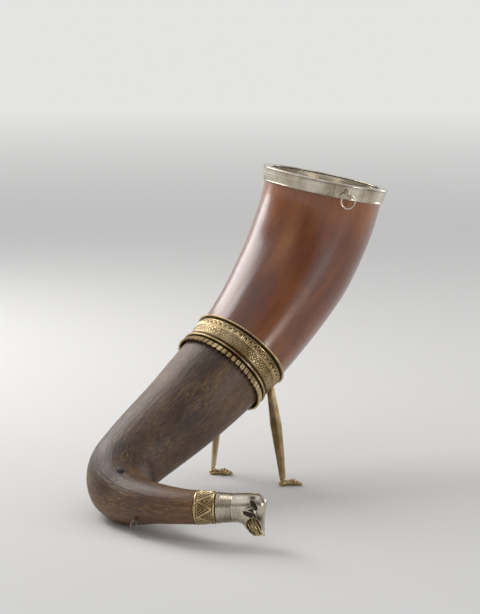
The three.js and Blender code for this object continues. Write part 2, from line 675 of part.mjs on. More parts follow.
// Puts an eye on the horn and hangs its ring plumb through the loop.
function hangingPair({ distance, outward, cover, eyeSize, ringSize }) {
  const seat = seatOn(cover, distance, outward);
  const out = new THREE.Vector3().setFromMatrixColumn(seat, 1);
  const base = new THREE.Vector3().setFromMatrixPosition(seat).addScaledVector(out, GAP);
  // The loop stands in an upright plane, so that its hole lies level along the surface.
  const level = new THREE.Vector3().crossVectors(out, Z_AXIS).normalize();
  const rise = new THREE.Vector3().crossVectors(level, out);
  const place = new THREE.Matrix4().makeBasis(rise, out, level.clone().negate()).setPosition(base);
  const holeOut = eyeSize.padHeight + (eyeSize.loop - eyeSize.wire) / 2;
  const hole = base.clone().addScaledVector(out, holeOut);
  const slack = eyeSize.loop / 2 - eyeSize.wire - ringSize.wire / 2 - RING_REST;
  const hinge = hole.clone().addScaledVector(Z_AXIS, -slack);
  const radius = (ringSize.diameter - ringSize.wire) / 2;
  const ring = new THREE.TorusGeometry(radius, ringSize.wire / 2, 6, 24);
  const facing = new THREE.Vector3().crossVectors(level, Z_AXIS);
  const centre = new THREE.Vector3(0, 0, -radius);
  ring.applyMatrix4(new THREE.Matrix4().makeBasis(level, Z_AXIS, facing).setPosition(centre));
  return { eye: eye(eyeSize).applyMatrix4(place), ring, hinge };
}

const rimHanging = hangingPair({
  distance: RIM_EYE_PLACE.distance,
  outward: outwardAt(RIM_EYE_PLACE.distance, RIM_EYE_PLACE.angle),
  cover: bandTop,
  eyeSize: RIM_EYE,
  ringSize: RIM_RING,
});
const bellyHanging = hangingPair({
  distance: BELLY_EYE_PLACE.distance,
  outward: new THREE.Vector3(...BELLY_EYE_PLACE.towards),
  cover: () => 0,
  eyeSize: BELLY_EYE,
  ringSize: BELLY_RING,
});

// Assembly

const part = new THREE.Group();
// A hanging ring's mesh is placed at its hinge, and the others at the origin.
function add(name, geometry, finish, hinge = new THREE.Vector3()) {
  const mesh = new THREE.Mesh(geometry, new THREE.MeshStandardMaterial(finish));
  mesh.name = name;
  mesh.position.copy(hinge);
  part.add(mesh);
}

add("horn", horn(), HORN);
add("rim_band", rimBand(), SILVER);
add("rim_lining", rimLining(), SILVER);
add("rim_lip", rimLip(), SILVER);
add("rim_eye", rimHanging.eye, SILVER);
add("rim_ring", rimHanging.ring, SILVER, rimHanging.hinge);
add("band_upper_wire", wireRound(upperWireAt, BAND_WIRE_DIAMETER, BAND_LEAN), GILT);
add("band_plate", bandPlate(), GILT);
add("band_lower_wire", wireRound(lowerWireAt, BAND_WIRE_DIAMETER, BAND_LEAN), GILT);
add("band_fringe", bandFringe(), GILT);
for (const each of LEGS) add(each.name, leg(each), GILT);
add("collar_back_wire", wireRound(COLLAR_START + COLLAR_WIRE_DIAMETER / 2, COLLAR_WIRE_DIAMETER), GILT);
add("collar_plate", collarPlate(), GILT);
add("collar_front_wire", wireRound(collarEnd - COLLAR_WIRE_DIAMETER / 2, COLLAR_WIRE_DIAMETER), GILT);
add("finial_neck", finialNeck(), SILVER);
add("finial_head", finialHead(), SILVER);
add("belly_eye", bellyHanging.eye, SILVER);
add("belly_ring", bellyHanging.ring, SILVER, bellyHanging.hinge);
for (const pin of pins) add(pin.name, pin.shape, pin === collarPin || bandPins.includes(pin) ? GILT : SILVER);

const box = new THREE.Box3().setFromObject(part);
const middle = box.getCenter(new THREE.Vector3());
part.position.set(-middle.x, -middle.y, -box.min.z);

export default part;
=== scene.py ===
"""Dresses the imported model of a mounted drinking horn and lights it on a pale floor.

Lengths inside the classes are millimetres, and laying a piece in place turns them to metres. What goes round
the horn is modelled straight, with Y along the horn, Z towards its underside and X towards its right, and is
then bent onto the horn's own line.
"""

import json
import logging
import math
from collections.abc import Callable, Sequence
from dataclasses import dataclass, field
from enum import Enum

import bmesh
import bpy
import numpy as np
from mathutils import Matrix, Vector, noise


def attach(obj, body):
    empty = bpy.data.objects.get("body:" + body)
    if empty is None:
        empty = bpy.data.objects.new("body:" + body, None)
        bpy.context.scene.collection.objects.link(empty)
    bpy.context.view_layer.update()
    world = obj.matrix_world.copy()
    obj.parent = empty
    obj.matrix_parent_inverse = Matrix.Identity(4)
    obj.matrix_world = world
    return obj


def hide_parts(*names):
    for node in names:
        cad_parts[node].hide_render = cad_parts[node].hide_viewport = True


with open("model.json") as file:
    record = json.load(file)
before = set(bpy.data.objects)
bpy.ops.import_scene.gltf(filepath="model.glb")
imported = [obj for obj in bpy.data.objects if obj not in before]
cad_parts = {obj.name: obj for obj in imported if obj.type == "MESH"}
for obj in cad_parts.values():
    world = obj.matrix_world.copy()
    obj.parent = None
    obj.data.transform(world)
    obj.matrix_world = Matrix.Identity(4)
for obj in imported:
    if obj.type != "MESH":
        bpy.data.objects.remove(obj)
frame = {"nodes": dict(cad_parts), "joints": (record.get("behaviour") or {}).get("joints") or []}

LOG = logging.getLogger("drinking_horn")
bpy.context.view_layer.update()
MM = 0.001
TURN = 2 * math.pi
VESSEL = "vessel"
RUBBED = 0.16  # the relief that a plain, rubbed surface counts as
WEAR_GAIN = 1.3  # how strongly a worn form's own height counts as relief
Piece = bpy.types.Object
Socket = bpy.types.NodeSocket
Inputs = dict[object, object]
Profile = list[tuple[float, float]]
Triple = tuple[float, float, float]
Height = Callable[[float], float]  # a height for a distance along the horn
Relief = Callable[[float, float], float]  # a height for an angle in radians and a distance along the horn


class Slot(Enum):
    """The record's material slots."""

    HORN = "horn"
    SILVER = "silver"
    GILT = "silver_gilt"


# Tools


def deselect() -> None:
    """Leaves nothing selected, so that an operator acts on the new piece alone."""
    bpy.ops.object.select_all(action="DESELECT")


def pick(*pieces: Piece) -> Piece:
    """Selects pieces and makes the first one active.

    Args:
        pieces: What the next operator acts on.

    Returns:
        The active piece.
    """
    deselect()
    for piece in pieces:
        piece.select_set(True)
    bpy.context.view_layer.objects.active = pieces[0]
    return pieces[0]


def apply_place(piece: Piece) -> Piece:
    """Moves a piece's place into its mesh and returns it."""
    pick(piece)
    bpy.ops.object.transform_apply(location=True, rotation=True, scale=True)
    return piece


def join(name: str, pieces: Sequence[Piece]) -> Piece:
    """Joins pieces into one.

    Args:
        name: The joined piece's name.
        pieces: Pieces whose places are already in their meshes.

    Returns:
        The joined piece.
    """
    pick(*pieces)
    if len(pieces) > 1:
        bpy.ops.object.join()
    whole = bpy.context.object
    whole.name = name
    whole.data.name = name
    return whole


def finish_modifier(piece: Piece, kind: str, **settings: object) -> Piece:
    """Adds a modifier, sets it and applies it.

    Args:
        piece: The piece to change.
        kind: The modifier's type, such as BEVEL.
        settings: Its settings by name.

    Returns:
        The same piece.
    """
    pick(piece)
    bpy.ops.object.modifier_add(type=kind)
    modifier = piece.modifiers[-1]
    for name, value in settings.items():
        setattr(modifier, name, value)
    bpy.ops.object.modifier_apply(modifier=modifier.name)
    return piece


def smooth(piece: Piece, degrees: float = 180) -> Piece:
    """Shades a piece smooth up to an angle between faces and returns it."""
    pick(piece)
    bpy.ops.object.shade_smooth_by_angle(angle=math.radians(degrees))
    return piece


def points_of(piece: Piece) -> np.ndarray:
    """Returns a piece's vertices, one row each."""
    points = np.empty(len(piece.data.vertices) * 3)
    piece.data.vertices.foreach_get("co", points)
    return points.reshape(-1, 3)


def set_points(piece: Piece, points: np.ndarray) -> None:
    """Puts a piece's vertices at the given rows."""
    piece.data.vertices.foreach_set("co", np.ascontiguousarray(points, dtype=np.float32).ravel())
    piece.data.update()


def to_metres(piece: Piece) -> None:
    """Turns a piece's millimetres to metres."""
    set_points(piece, points_of(piece) * MM)


def store(piece: Piece, name: str, values: np.ndarray) -> None:
    """Keeps values on a piece's vertices for its material.

    Args:
        piece: The piece.
        name: The attribute's name.
        values: One number or one row of three for each vertex.
    """
    kind, key = ("FLOAT", "value") if values.ndim == 1 else ("FLOAT_VECTOR", "vector")
    layer = piece.data.attributes.get(name) or piece.data.attributes.new(name, kind, "POINT")
    layer.data.foreach_set(key, np.ascontiguousarray(values, dtype=np.float32).ravel())


def spun(name: str, profile: Profile, around: int, closed: bool = True) -> Piece:
    """Draws a profile and spins it round the straight horn's axis.

    Args:
        name: The piece's name.
        profile: Points as distance along the horn and radius.
        around: Steps in the full turn.
        closed: Whether the profile closes on itself. Otherwise it ends on the axis.

    Returns:
        The piece, still straight.
    """
    drawing = bpy.data.curves.new(name, "CURVE")
    drawing.dimensions = "3D"
    line = drawing.splines.new("POLY")
    line.points.add(len(profile) - 1)
    for point, (distance, radius) in zip(line.points, profile):
        point.co = (0, distance, radius, 1)
    line.use_cyclic_u = closed
    piece = bpy.data.objects.new(name, drawing)
    bpy.context.scene.collection.objects.link(piece)
    pick(piece)
    bpy.ops.object.convert(target="MESH")
    piece = bpy.context.object
    bpy.ops.object.mode_set(mode="EDIT")
    bpy.ops.mesh.select_all(action="SELECT")
    bpy.ops.mesh.spin(steps=around, angle=TURN, center=(0, 0, 0), axis=(0, 1, 0))
    bpy.ops.mesh.select_all(action="SELECT")
    bpy.ops.mesh.remove_doubles(threshold=1e-3)
    bpy.ops.mesh.normals_make_consistent(inside=False)
    bpy.ops.object.mode_set(mode="OBJECT")
    return piece


def lofted(name: str, rings: Sequence[Sequence[Vector]]) -> Piece:
    """Extrudes a closed outline ring by ring, as a bar is drawn out by hand.

    Args:
        name: The piece's name.
        rings: Rings of equal point counts.

    Returns:
        The piece, closed at both ends.
    """
    deselect()
    bpy.ops.mesh.primitive_circle_add(vertices=len(rings[0]), radius=1, fill_type="NGON")
    piece = bpy.context.object
    piece.name = name
    bpy.ops.object.mode_set(mode="EDIT")
    mesh = bmesh.from_edit_mesh(piece.data)
    mesh.verts.ensure_lookup_table()
    for vertex, point in zip(mesh.verts, rings[0]):
        vertex.co = point
    for ring in rings[1:]:
        bpy.ops.mesh.extrude_region()
        mesh = bmesh.from_edit_mesh(piece.data)
        mesh.verts.ensure_lookup_table()
        for vertex, point in zip(mesh.verts[-len(ring):], ring):
            vertex.co = point
        bmesh.update_edit_mesh(piece.data)
    bpy.ops.mesh.select_all(action="SELECT")
    bpy.ops.mesh.normals_make_consistent(inside=False)
    bpy.ops.object.mode_set(mode="OBJECT")
    return piece


def lump(size: Triple, place: Vector, turn: Triple = (0, 0, 0), fine: int = 24) -> Piece:
    """Adds an egg-shaped lump.

    Args:
        size: Its full length along X, Y and Z.
        place: Its middle.
        turn: Its Euler rotation in radians.
        fine: Segments round it.

    Returns:
        The lump, with its place in its mesh.
    """
    deselect()
    finely = {"segments": fine, "ring_count": fine // 2}
    bpy.ops.mesh.primitive_uv_sphere_add(**finely, radius=0.5, location=place, rotation=turn)
    bpy.context.object.scale = size
    return apply_place(bpy.context.object)


def torus(middle: Vector, facing: Vector, radius: float, wire: float, fine: tuple[int, int]) -> Piece:
    """Adds a ring of round wire.

    Args:
        middle: Its middle.
        facing: The way that its hole faces.
        radius: The radius of the wire's centre line.
        wire: The wire's diameter.
        fine: Segments round the ring and round the wire.

    Returns:
        The ring, with its place in its mesh.
    """
    deselect()
    bpy.ops.mesh.primitive_torus_add(
        location=middle,
        rotation=facing.to_track_quat("Z", "Y").to_euler(),
        major_radius=radius,
        minor_radius=wire / 2,
        major_segments=fine[0],
        minor_segments=fine[1],
    )
    return apply_place(bpy.context.object)


def fused(name: str, pieces: Sequence[Piece], grain: float, passes: int) -> Piece:
    """Casts overlapping lumps into one skin.

    Args:
        name: The piece's name.
        pieces: The lumps.
        grain: The skin's cell size in millimetres.
        passes: How often the skin is smoothed.

    Returns:
        The cast piece.
    """
    whole = join(name, pieces)
    finish_modifier(whole, "REMESH", mode="VOXEL", voxel_size=grain, use_smooth_shade=True)
    if passes:
        finish_modifier(whole, "SMOOTH", factor=0.5, iterations=passes)
    return whole


def keep_wear(piece: Piece, reach: int) -> np.ndarray:
    """Keeps how far each vertex stands out from its surroundings, for the tarnish that lies in hollows.

    Args:
        piece: The piece, in millimetres.
        reach: How many cells the surroundings go out.

    Returns:
        The kept relief of each vertex.
    """
    points = points_of(piece)
    ends = np.empty(len(piece.data.edges) * 2, dtype=np.int64)
    piece.data.edges.foreach_get("vertices", ends)
    ends = ends.reshape(-1, 2)
    count = np.maximum(np.bincount(ends.ravel(), minlength=len(points)), 1)[:, None]
    broad = points.copy()
    for _ in range(reach):
        total = np.zeros_like(broad)
        np.add.at(total, ends[:, 0], broad[ends[:, 1]])
        np.add.at(total, ends[:, 1], broad[ends[:, 0]])
        broad = (broad + total / count) / 2
    normals = np.empty(len(points) * 3)
    piece.data.vertices.foreach_get("normal", normals)
    relief = RUBBED + WEAR_GAIN * np.sum((points - broad) * normals.reshape(-1, 3), axis=1)
    store(piece, "relief", relief)
    return relief


def ramp(value: float, low: float, high: float) -> float:
    """Returns 0 below low, 1 above high and a smooth rise between."""
    share = min(max((value - low) / (high - low), 0.0), 1.0)
    return share * share * (3 - 2 * share)


# The horn's line


@dataclass
class HornLine:
    """The horn's centreline and thickness, as its CAD solid has them.

    Attributes:
        knots: Points from the mouth edge to the tip.
        shift: What carries those points to the part's own origin.
        taper: Diameters by distance from the mouth edge.
        shoulder: Where the tip is pared down for its mount.
        pared: How much the paring takes off its radius.
        mouth_wall: The wall at the mouth.
        deep_wall: The wall where the hollow ends.
        hollow: How deep the hollow goes.
    """

    knots: tuple[Triple, ...] = (
        (80, -4.2, 215), (77.9, -2.9, 203.2), (74.4, -1.7, 190.3), (65.9, -0.4, 171.4), (52, 0, 149.5),
        (10, 0, 105.5), (-47, 0, 65.5), (-97, 0, 37), (-113, -4, 29.5), (-125, -16, 22), (-129.5, -33, 19),
        (-132.2, -70.4, 22.9), (-126.2, -94.7, 24.8), (-113.1, -113.3, 25.9),
    )
    shift: Triple = (10.514, 47.119, -0.871)
    taper: tuple[tuple[float, float], ...] = (
        (0, 87.2), (61, 82.8), (124, 71.5), (201, 61), (263, 49.5), (303, 39.2), (344, 27.7), (401, 19.4),
    )
    shoulder: float = 381.7
    pared: float = 1.15
    mouth_wall: float = 2.6
    deep_wall: float = 6
    hollow: float = 300
    step: float = 0.5
    length: float = field(init=False)

    def __post_init__(self) -> None:
        """Works out the frames along the line once."""
        dense = self._dense()
        gaps = np.linalg.norm(np.diff(dense, axis=0), axis=1)
        run = np.concatenate([[0], np.cumsum(gaps)])
        self.length = float(run[-1])
        self._at = np.arange(0, self.length + self.step, self.step).clip(0, self.length)
        centres = np.stack([np.interp(self._at, run, dense[:, i]) for i in range(3)], axis=1)
        along = np.gradient(centres, axis=0)
        along /= np.linalg.norm(along, axis=1)[:, None]
        unders = []
        under = np.array([1.0, 0.0, 0.0])
        for direction in along:
            under = under - direction * (under @ direction)
            under /= np.linalg.norm(under)
            unders.append(under)
        self._centres, self._along, self._under = centres, along, np.array(unders)

    def _dense(self) -> np.ndarray:
        """Returns many points of the centripetal curve through the knots."""
        knots = np.array(self.knots) + np.array(self.shift)
        knots = np.vstack([2 * knots[0] - knots[1], knots, 2 * knots[-1] - knots[-2]])
        points = []
        for i in range(1, len(knots) - 2):
            p0, p1, p2, p3 = knots[i - 1 : i + 3]
            d0, d1, d2 = (float(np.linalg.norm(b - a)) ** 0.5 for a, b in ((p0, p1), (p1, p2), (p2, p3)))
            t1 = ((p1 - p0) / d0 - (p2 - p0) / (d0 + d1) + (p2 - p1) / d1) * d1
            t2 = ((p2 - p1) / d1 - (p3 - p1) / (d1 + d2) + (p3 - p2) / d2) * d1
            for t in np.arange(0, 1, 0.01):
                cube = (2 * p1 - 2 * p2 + t1 + t2) * t**3
                points.append(cube + (-3 * p1 + 3 * p2 - 2 * t1 - t2) * t**2 + t1 * t + p1)
        return np.vstack(points + [knots[-2]])

    def radius(self, distance: float) -> float:
        """Returns the radius of the horn's skin at a distance from the mouth edge."""
        return self._whole_radius(distance) - (self.pared if distance > self.shoulder else 0)

    def _whole_radius(self, distance: float) -> float:
        """Returns the radius before the tip is pared."""
        s = min(max(distance, 0), self.length)
        count = len(self.taper)
        i = max(1, min(count - 1, next((k for k in range(1, count) if s < self.taper[k][0]), count - 1)))
        (t0, v0), (t1, v1) = self.taper[i - 1], self.taper[i]
        before, previous = self.taper[i - 2] if i > 1 else (t1, v1)
        after, following = self.taper[i + 1] if i + 1 < count else (t0, v0)
        half = (t1 - t0) / 2
        wp, wn = half / (t0 - before), half / (after - t1)
        p = (s - t0) / (t1 - t0)
        return 0.5 * (
            previous * (-wp * p**3 + 2 * wp * p**2 - wp * p)
            + v0 * ((1 + wp) * p**3 + (-1.5 - 2 * wp) * p**2 + (-0.5 + wp) * p + 1)
            + v1 * ((-1 - wn) * p**3 + (1.5 + wn) * p**2 + 0.5 * p)
            + following * (wn * p**3 - wn * p**2)
        )

    def over(self, stations: Sequence[float], height: Height | float) -> Profile:
        """Returns a profile at a height above the skin, which may vary with the distance."""
        return [(s, self.radius(s) + (height(s) if callable(height) else height)) for s in stations]

    def wall(self, distance: float) -> float:
        """Returns the wall's thickness at a distance from the mouth edge."""
        return self.mouth_wall + (self.deep_wall - self.mouth_wall) * max(distance, 0) / self.hollow

    def frames(self, distances: np.ndarray) -> tuple[np.ndarray, np.ndarray, np.ndarray, np.ndarray]:
        """Returns centre, along, under and right for each distance, carried on straight past both ends."""
        inside = distances.clip(0, self.length)

        def blend(rows: np.ndarray) -> np.ndarray:
            return np.stack([np.interp(inside, self._at, rows[:, i]) for i in range(3)], axis=1)

        along = blend(self._along)
        along /= np.linalg.norm(along, axis=1)[:, None]
        centre = blend(self._centres) + along * (distances - inside)[:, None]
        under = blend(self._under)
        under -= along * np.sum(under * along, axis=1)[:, None]
        under /= np.linalg.norm(under, axis=1)[:, None]
        return centre, along, under, np.cross(along, under)

    def frame(self, distance: float) -> tuple[Vector, Vector, Vector, Vector]:
        """Returns centre, along, under and right at one distance."""
        return tuple(Vector(rows[0]) for rows in self.frames(np.array([distance])))

    def outward(self, distance: float, degrees: float) -> Vector:
        """Returns the direction at an angle from the underside, towards the right."""
        _, _, under, right = self.frame(distance)
        return under * math.cos(math.radians(degrees)) + right * math.sin(math.radians(degrees))

    def seat(self, cover: Height, distance: float, outward: Vector) -> Matrix:
        """Places a small piece square on what covers the horn: local Y points out and local X runs along.

        Args:
            cover: The cover's height above the skin at a distance.
            distance: Where along the horn.
            outward: Which way out.

        Returns:
            The placement, in millimetres.
        """
        centre, along, _, _ = self.frame(distance)
        radial = (outward - along * outward.dot(along)).normalized()
        (_, before), (_, top), (_, after) = self.over((distance - 0.5, distance, distance + 0.5), cover)
        slope = after - before
        out = (radial - along * slope).normalized()
        run = (along - out * along.dot(out)).normalized()
        side = run.cross(out)
        return Matrix.Translation(centre + radial * top) @ Matrix((run, out, side)).transposed().to_4x4()

    def lay(self, piece: Piece, lean: float = 0) -> Piece:
        """Bends a straight piece onto the horn, in metres, and keeps its straight place for the material.

        Args:
            piece: The straight piece, in millimetres.
            lean: How far its underside leans towards the mouth, as a slope.

        Returns:
            The same piece, in place.
        """
        straight = points_of(piece)
        store(piece, "straight", straight)
        x, y, z = straight.T
        s = y - z * lean
        reach = np.hypot(x, z)
        grown = np.zeros_like(s)
        if lean:
            grown = np.array([self.radius(a) - self.radius(b) for a, b in zip(s, y)])
        spread = np.where(reach > 0, 1 + grown / np.maximum(reach, 1e-9), 1)
        centre, _, under, right = self.frames(s)
        set_points(piece, (centre + right * (x * spread)[:, None] + under * (z * spread)[:, None]) * MM)
        return piece


LINE = HornLine()
GAP = 0.3  # clearance between neighbouring pieces, as in the CAD model
SHEET = 0.8  # the mounts' sheet
PLATE_SUNK = 0.1  # how far an ornamented plate's ground lies under the sheet's face


def emboss(piece: Piece, height: Relief, skin: Height) -> None:
    """Raises ornament on the outer face of a straight piece, and keeps the height for the material.

    Args:
        piece: The straight piece.
        height: The relief for an angle in radians and a distance along the horn.
        skin: The radius above which a vertex belongs to the outer face.
    """
    points = points_of(piece)
    relief = np.zeros(len(points))
    for i, (x, y, z) in enumerate(points):
        radius = math.hypot(x, z)
        if radius > skin(y):
            relief[i] = height(math.atan2(x, z), y)
            points[i, 0] = x * (1 + relief[i] / radius)
            points[i, 2] = z * (1 + relief[i] / radius)
    set_points(piece, points)
    store(piece, "relief", relief)


def embossed_plate(name: str, stations: Sequence[float], around: int, height: Relief) -> Piece:
    """Spins a sheet that lies on the horn and raises its ornament.

    Args:
        name: The piece's name.
        stations: Distances along the horn of the outer face's rings.
        around: Steps in the full turn.
        height: The relief for an angle in radians and a distance along the horn.

    Returns:
        The plate, still straight.
    """
    outer = LINE.over(stations, GAP + SHEET - PLATE_SUNK)
    piece = spun(name, outer + LINE.over(steps(stations[-1], stations[0], 3), GAP), around)
    emboss(piece, height, lambda s: LINE.radius(s) + GAP + SHEET / 2)
    return piece


def steps(start: float, end: float, step: float) -> list[float]:
    """Returns evenly spaced values from start to end, both included."""
    count = max(1, round(abs(end - start) / step))
    return [start + (end - start) * i / count for i in range(count + 1)]


def arc(centre: tuple[float, float], radius: float, start: float, end: float, count: int) -> Profile:
    """Returns points of an arc in the profile's plane, its angles in degrees from the distance axis."""
    turns = [math.radians(start + (end - start) * i / count) for i in range(count + 1)]
    return [(centre[0] + radius * math.cos(a), centre[1] + radius * math.sin(a)) for a in turns]


# Finishes


def colour(code: str) -> tuple[float, float, float, float]:
    """Returns an sRGB hex colour as linear values."""
    parts = [int(code[i : i + 2], 16) / 255 for i in (1, 3, 5)]
    return tuple(p / 12.92 if p <= 0.04045 else ((p + 0.055) / 1.055) ** 2.4 for p in parts) + (1.0,)


@dataclass
class Shading:
    """The nodes of a material or of the world, with the kinds of node that the finishes share."""

    tree: bpy.types.NodeTree

    def feed(self, made: bpy.types.Node, inputs: Inputs) -> None:
        """Links or sets a node's inputs.

        Args:
            made: The node.
            inputs: Values or output sockets by input name or number.
        """
        for key, value in inputs.items():
            if isinstance(value, Socket):
                self.tree.links.new(value, made.inputs[key])
            else:
                made.inputs[key].default_value = value

    def add(self, kind: str, inputs: Inputs | None = None, **settings: object) -> bpy.types.Node:
        """Adds a node.

        Args:
            kind: Its type name after ShaderNode.
            inputs: Values or output sockets by input name or number.
            settings: Its own settings.

        Returns:
            The node.
        """
        made = self.tree.nodes.new("ShaderNode" + kind)
        for name, value in settings.items():
            setattr(made, name, value)
        self.feed(made, inputs or {})
        return made

    def kept(self, name: str, output: str = "Fac") -> Socket:
        """Returns what a piece keeps on its vertices under a name."""
        return self.add("Attribute", attribute_name=name).outputs[output]

    def noise(self, place: Socket, scale: float, detail: float) -> Socket:
        """Returns noise over a place."""
        return self.add("TexNoise", {"Vector": place, "Scale": scale, "Detail": detail}).outputs["Fac"]

    def share(self, value: Socket, low: float, high: float, start: float = 0.0, end: float = 1.0) -> Socket:
        """Returns where a value lies between low and high, counted from start to end."""
        return self.add("MapRange", {0: value, 1: low, 2: high, 3: start, 4: end}).outputs[0]

    def math(self, operation: str, *values: object) -> Socket:
        """Returns the result of an operation on values or sockets."""
        return self.add("Math", dict(enumerate(values)), operation=operation).outputs[0]

    def mixed(self, factor: Socket, a: object, b: object) -> Socket:
        """Returns a colour between two by a factor."""
        return self.add("Mix", {0: factor, 6: a, 7: b}, data_type="RGBA").outputs[2]

    def tinted(self, tone: Socket, spots: Sequence[float], codes: Sequence[str]) -> Socket:
        """Returns the colour that a ramp with these spots gives to a tone."""
        made = self.add("ValToRGB", {0: tone})
        stops = made.color_ramp.elements
        while len(stops) < len(spots):
            stops.new(0.5)
        for stop, spot, code in zip(stops, spots, codes):
            stop.position = spot
            stop.color = colour(code)
        return made.outputs[0]


def new_material(name: str) -> tuple[bpy.types.Material, Shading, bpy.types.Node]:
    """Returns a new material, its nodes and its shader."""
    material = bpy.data.materials.new(name)
    material.use_nodes = True
    return material, Shading(material.node_tree), material.node_tree.nodes["Principled BSDF"]


@dataclass(frozen=True)
class OxHorn:
    """Ox horn, scraped and polished above the band and left fibrous below it.

    Keratin is slightly translucent, so its colour runs in long streaks with the fibres, under a soft polish.
    """

    polished: tuple[str, ...] = ("#522812", "#6a3516", "#7e441c", "#915828")
    fibrous: tuple[str, ...] = ("#281b14", "#453226", "#624a38", "#846848")
    warm: tuple[str, ...] = ("#3a2416", "#5e402b", "#7b573b", "#967150")
    fleck: str = "#96793f"
    meshed: str = "#1f1612"
    amber: str = "#9c5c2c"
    ruddy: str = "#54241a"
    knot: str = "#2e242a"
    # the knot hole's inside, painted black as painted shade
    hole: str = "#060405"
    spots: tuple[float, ...] = (0.3, 0.45, 0.56, 0.7)  # where the four colours of a palette stand
    band: tuple[float, float] = (158.0, 168.0)  # where the polish gives way to fibres, under the band
    fibre_mm: float = 0.8
    stretch: float = 14

    def build(self) -> bpy.types.Material:
        """Returns the material."""
        material, shade, shader = new_material("polished_ox_horn")
        place = shade.kept("straight", "Vector")
        parts = shade.add("SeparateXYZ", {0: place})
        distance, place_z = parts.outputs["Y"], parts.outputs["Z"]

        def noise_along(across_mm: float, along_mm: float, detail: float = 4.0) -> Socket:
            scale = (1 / across_mm, 1 / along_mm, 1 / across_mm)
            return shade.noise(shade.add("Mapping", {0: place, "Scale": scale}).outputs[0], 1.0, detail)

        fibre = noise_along(self.fibre_mm, self.fibre_mm * self.stretch)
        streak = noise_along(5, 160, 3.0)
        cloud = noise_along(26, 60, 3.0)
        # The polished part keeps only faint streaks. The fibrous part takes most of its tone from the fibres.
        smooth_tone = shade.add("Mix", {0: 0.72, 2: streak, 3: cloud}).outputs[0]
        rough_tone = shade.add("Mix", {0: 0.6, 2: fibre, 3: cloud}).outputs[0]
        polished = shade.tinted(smooth_tone, self.spots, self.polished)
        fibrous = shade.tinted(rough_tone, self.spots, self.fibrous)
        warm = shade.tinted(rough_tone, self.spots, self.warm)
        # Towards the tip the fibres are warmer.
        lower = shade.mixed(shade.share(distance, 285.0, 335.0), fibrous, warm)
        # Short pale flecks, where the outer fibres have flaked off.
        small, patchy = noise_along(1.1, 5, 5.0), noise_along(12, 24, 3.0)
        flake = shade.math("MULTIPLY", shade.share(small, 0.48, 0.66), shade.share(patchy, 0.42, 0.62))
        lower = shade.mixed(shade.math("MULTIPLY", flake, 0.5), lower, colour(self.fleck))
        # Fine dark cracks run with the fibres and now and then across them.
        cracks = shade.share(noise_along(0.7, 3.5, 5.0), 0.56, 0.66, 0.0, 0.55)
        lower = shade.mixed(cracks, lower, colour(self.meshed))
        # A ruddy shade on the underside next to the band.
        near_band = shade.share(distance, 225.0, 172.0)
        under = shade.math("MULTIPLY", shade.share(place_z, 4.0, 30.0), near_band)
        lower = shade.mixed(shade.math("MULTIPLY", under, 0.6), lower, colour(self.ruddy))
        # The knot: a dark eye in the grain, and in its middle the hole's inside painted black as painted
        # shade.
        knot = shade.kept("knot")
        lower = shade.mixed(shade.share(knot, 0.1, 0.45, 0.0, 0.75), lower, colour(self.knot))
        # Painted shade: the inside of the knot hole is painted black.
        lower = shade.mixed(shade.share(knot, 0.75, 0.9), lower, colour(self.hole))
        # The horn is thinner and shows amber under the rim, and the light comes through it there.
        under_rim = shade.math("MULTIPLY", shade.share(distance, 46.0, 9.0), 0.5)
        upper = shade.mixed(under_rim, polished, colour(self.amber))
        worn = shade.share(fibre, 0.3, 0.7, -0.05, 0.09)
        strength = shade.share(distance, 150.0, 180.0, 0.06, 0.6)
        bump = shade.add("Bump", {"Strength": strength, "Distance": 0.0004, "Height": fibre})
        shader.inputs["IOR"].default_value = 1.55
        shader.inputs["Coat Roughness"].default_value = 0.22
        shade.feed(
            shader,
            {
                "Base Color": shade.mixed(shade.share(distance, *self.band), upper, lower),
                "Roughness": shade.math("ADD", shade.share(distance, 150.0, 190.0, 0.26, 0.44), worn),
                "Normal": bump.outputs[0],
                "Specular IOR Level": shade.share(distance, 150.0, 175.0, 0.5, 0.38),
                "Coat Weight": shade.share(distance, 150.0, 175.0, 0.4, 0.0),
            },
        )
        return material


@dataclass(frozen=True)
class OldMetal:
    """Silver or silver gilt: bright where hands rub it, dark with sulphide in the hollows of its ornament,
    and dark where a piece's relief carries painted shade.
    """

    name: str
    bright: str
    plain: str
    dark: str
    roughness: float = 0.2
    blotch_mm: float = 14
    scratches: float = 16  # how many times finer than the blotches
    tarnish_from: float = 0.2  # the relief under which the metal darkens

    def build(self, relief: bool = False, gilding: str = "") -> bpy.types.Material:
        """Returns the material.

        Args:
            relief: Whether the piece holds the height of its ornament.
            gilding: The colour of its gilt parts, where the piece is parcel gilt.
        """
        material, shade, shader = new_material(self.name + ("_chased" if relief else ""))
        place = shade.add("TexCoord").outputs["Object"]
        per_metre = 1 / (self.blotch_mm * MM)
        cloud = shade.noise(place, per_metre, 4.0)
        scratch = shade.noise(place, per_metre * self.scratches, 3.0)
        base = shade.tinted(cloud, (0.36, 0.62), (self.plain, self.bright))
        if gilding:
            base = shade.mixed(shade.kept("gilded"), base, colour(gilding))
        rough = shade.share(scratch, 0.3, 0.7, self.roughness - 0.05, self.roughness + 0.09)
        if relief:
            low = shade.share(shade.kept("relief"), 0.02, self.tarnish_from, 0.92, 0.0)
            base = shade.mixed(low, base, colour(self.dark))
            rough = shade.math("MULTIPLY_ADD", low, 0.3, rough)
        bump = shade.add("Bump", {"Strength": 0.05, "Distance": 0.0003, "Height": scratch})
        shade.feed(shader, {"Base Color": base, "Roughness": rough, "Normal": bump.outputs[0]})
        shader.inputs["Metallic"].default_value = 1.0
        return material


SILVER = OldMetal("worn_silver", "#ddd4c3", "#aca08b", "#2c231a")
GILT = OldMetal("rubbed_silver_gilt", "#d8c195", "#a0845a", "#33240f", roughness=0.24)
# A darker copy of the silver, for the ring that hangs under the horn and its eye.
DARKER_SILVER = OldMetal("darker_silver", "#8f8473", "#655b4d", "#1e1812", roughness=0.28)


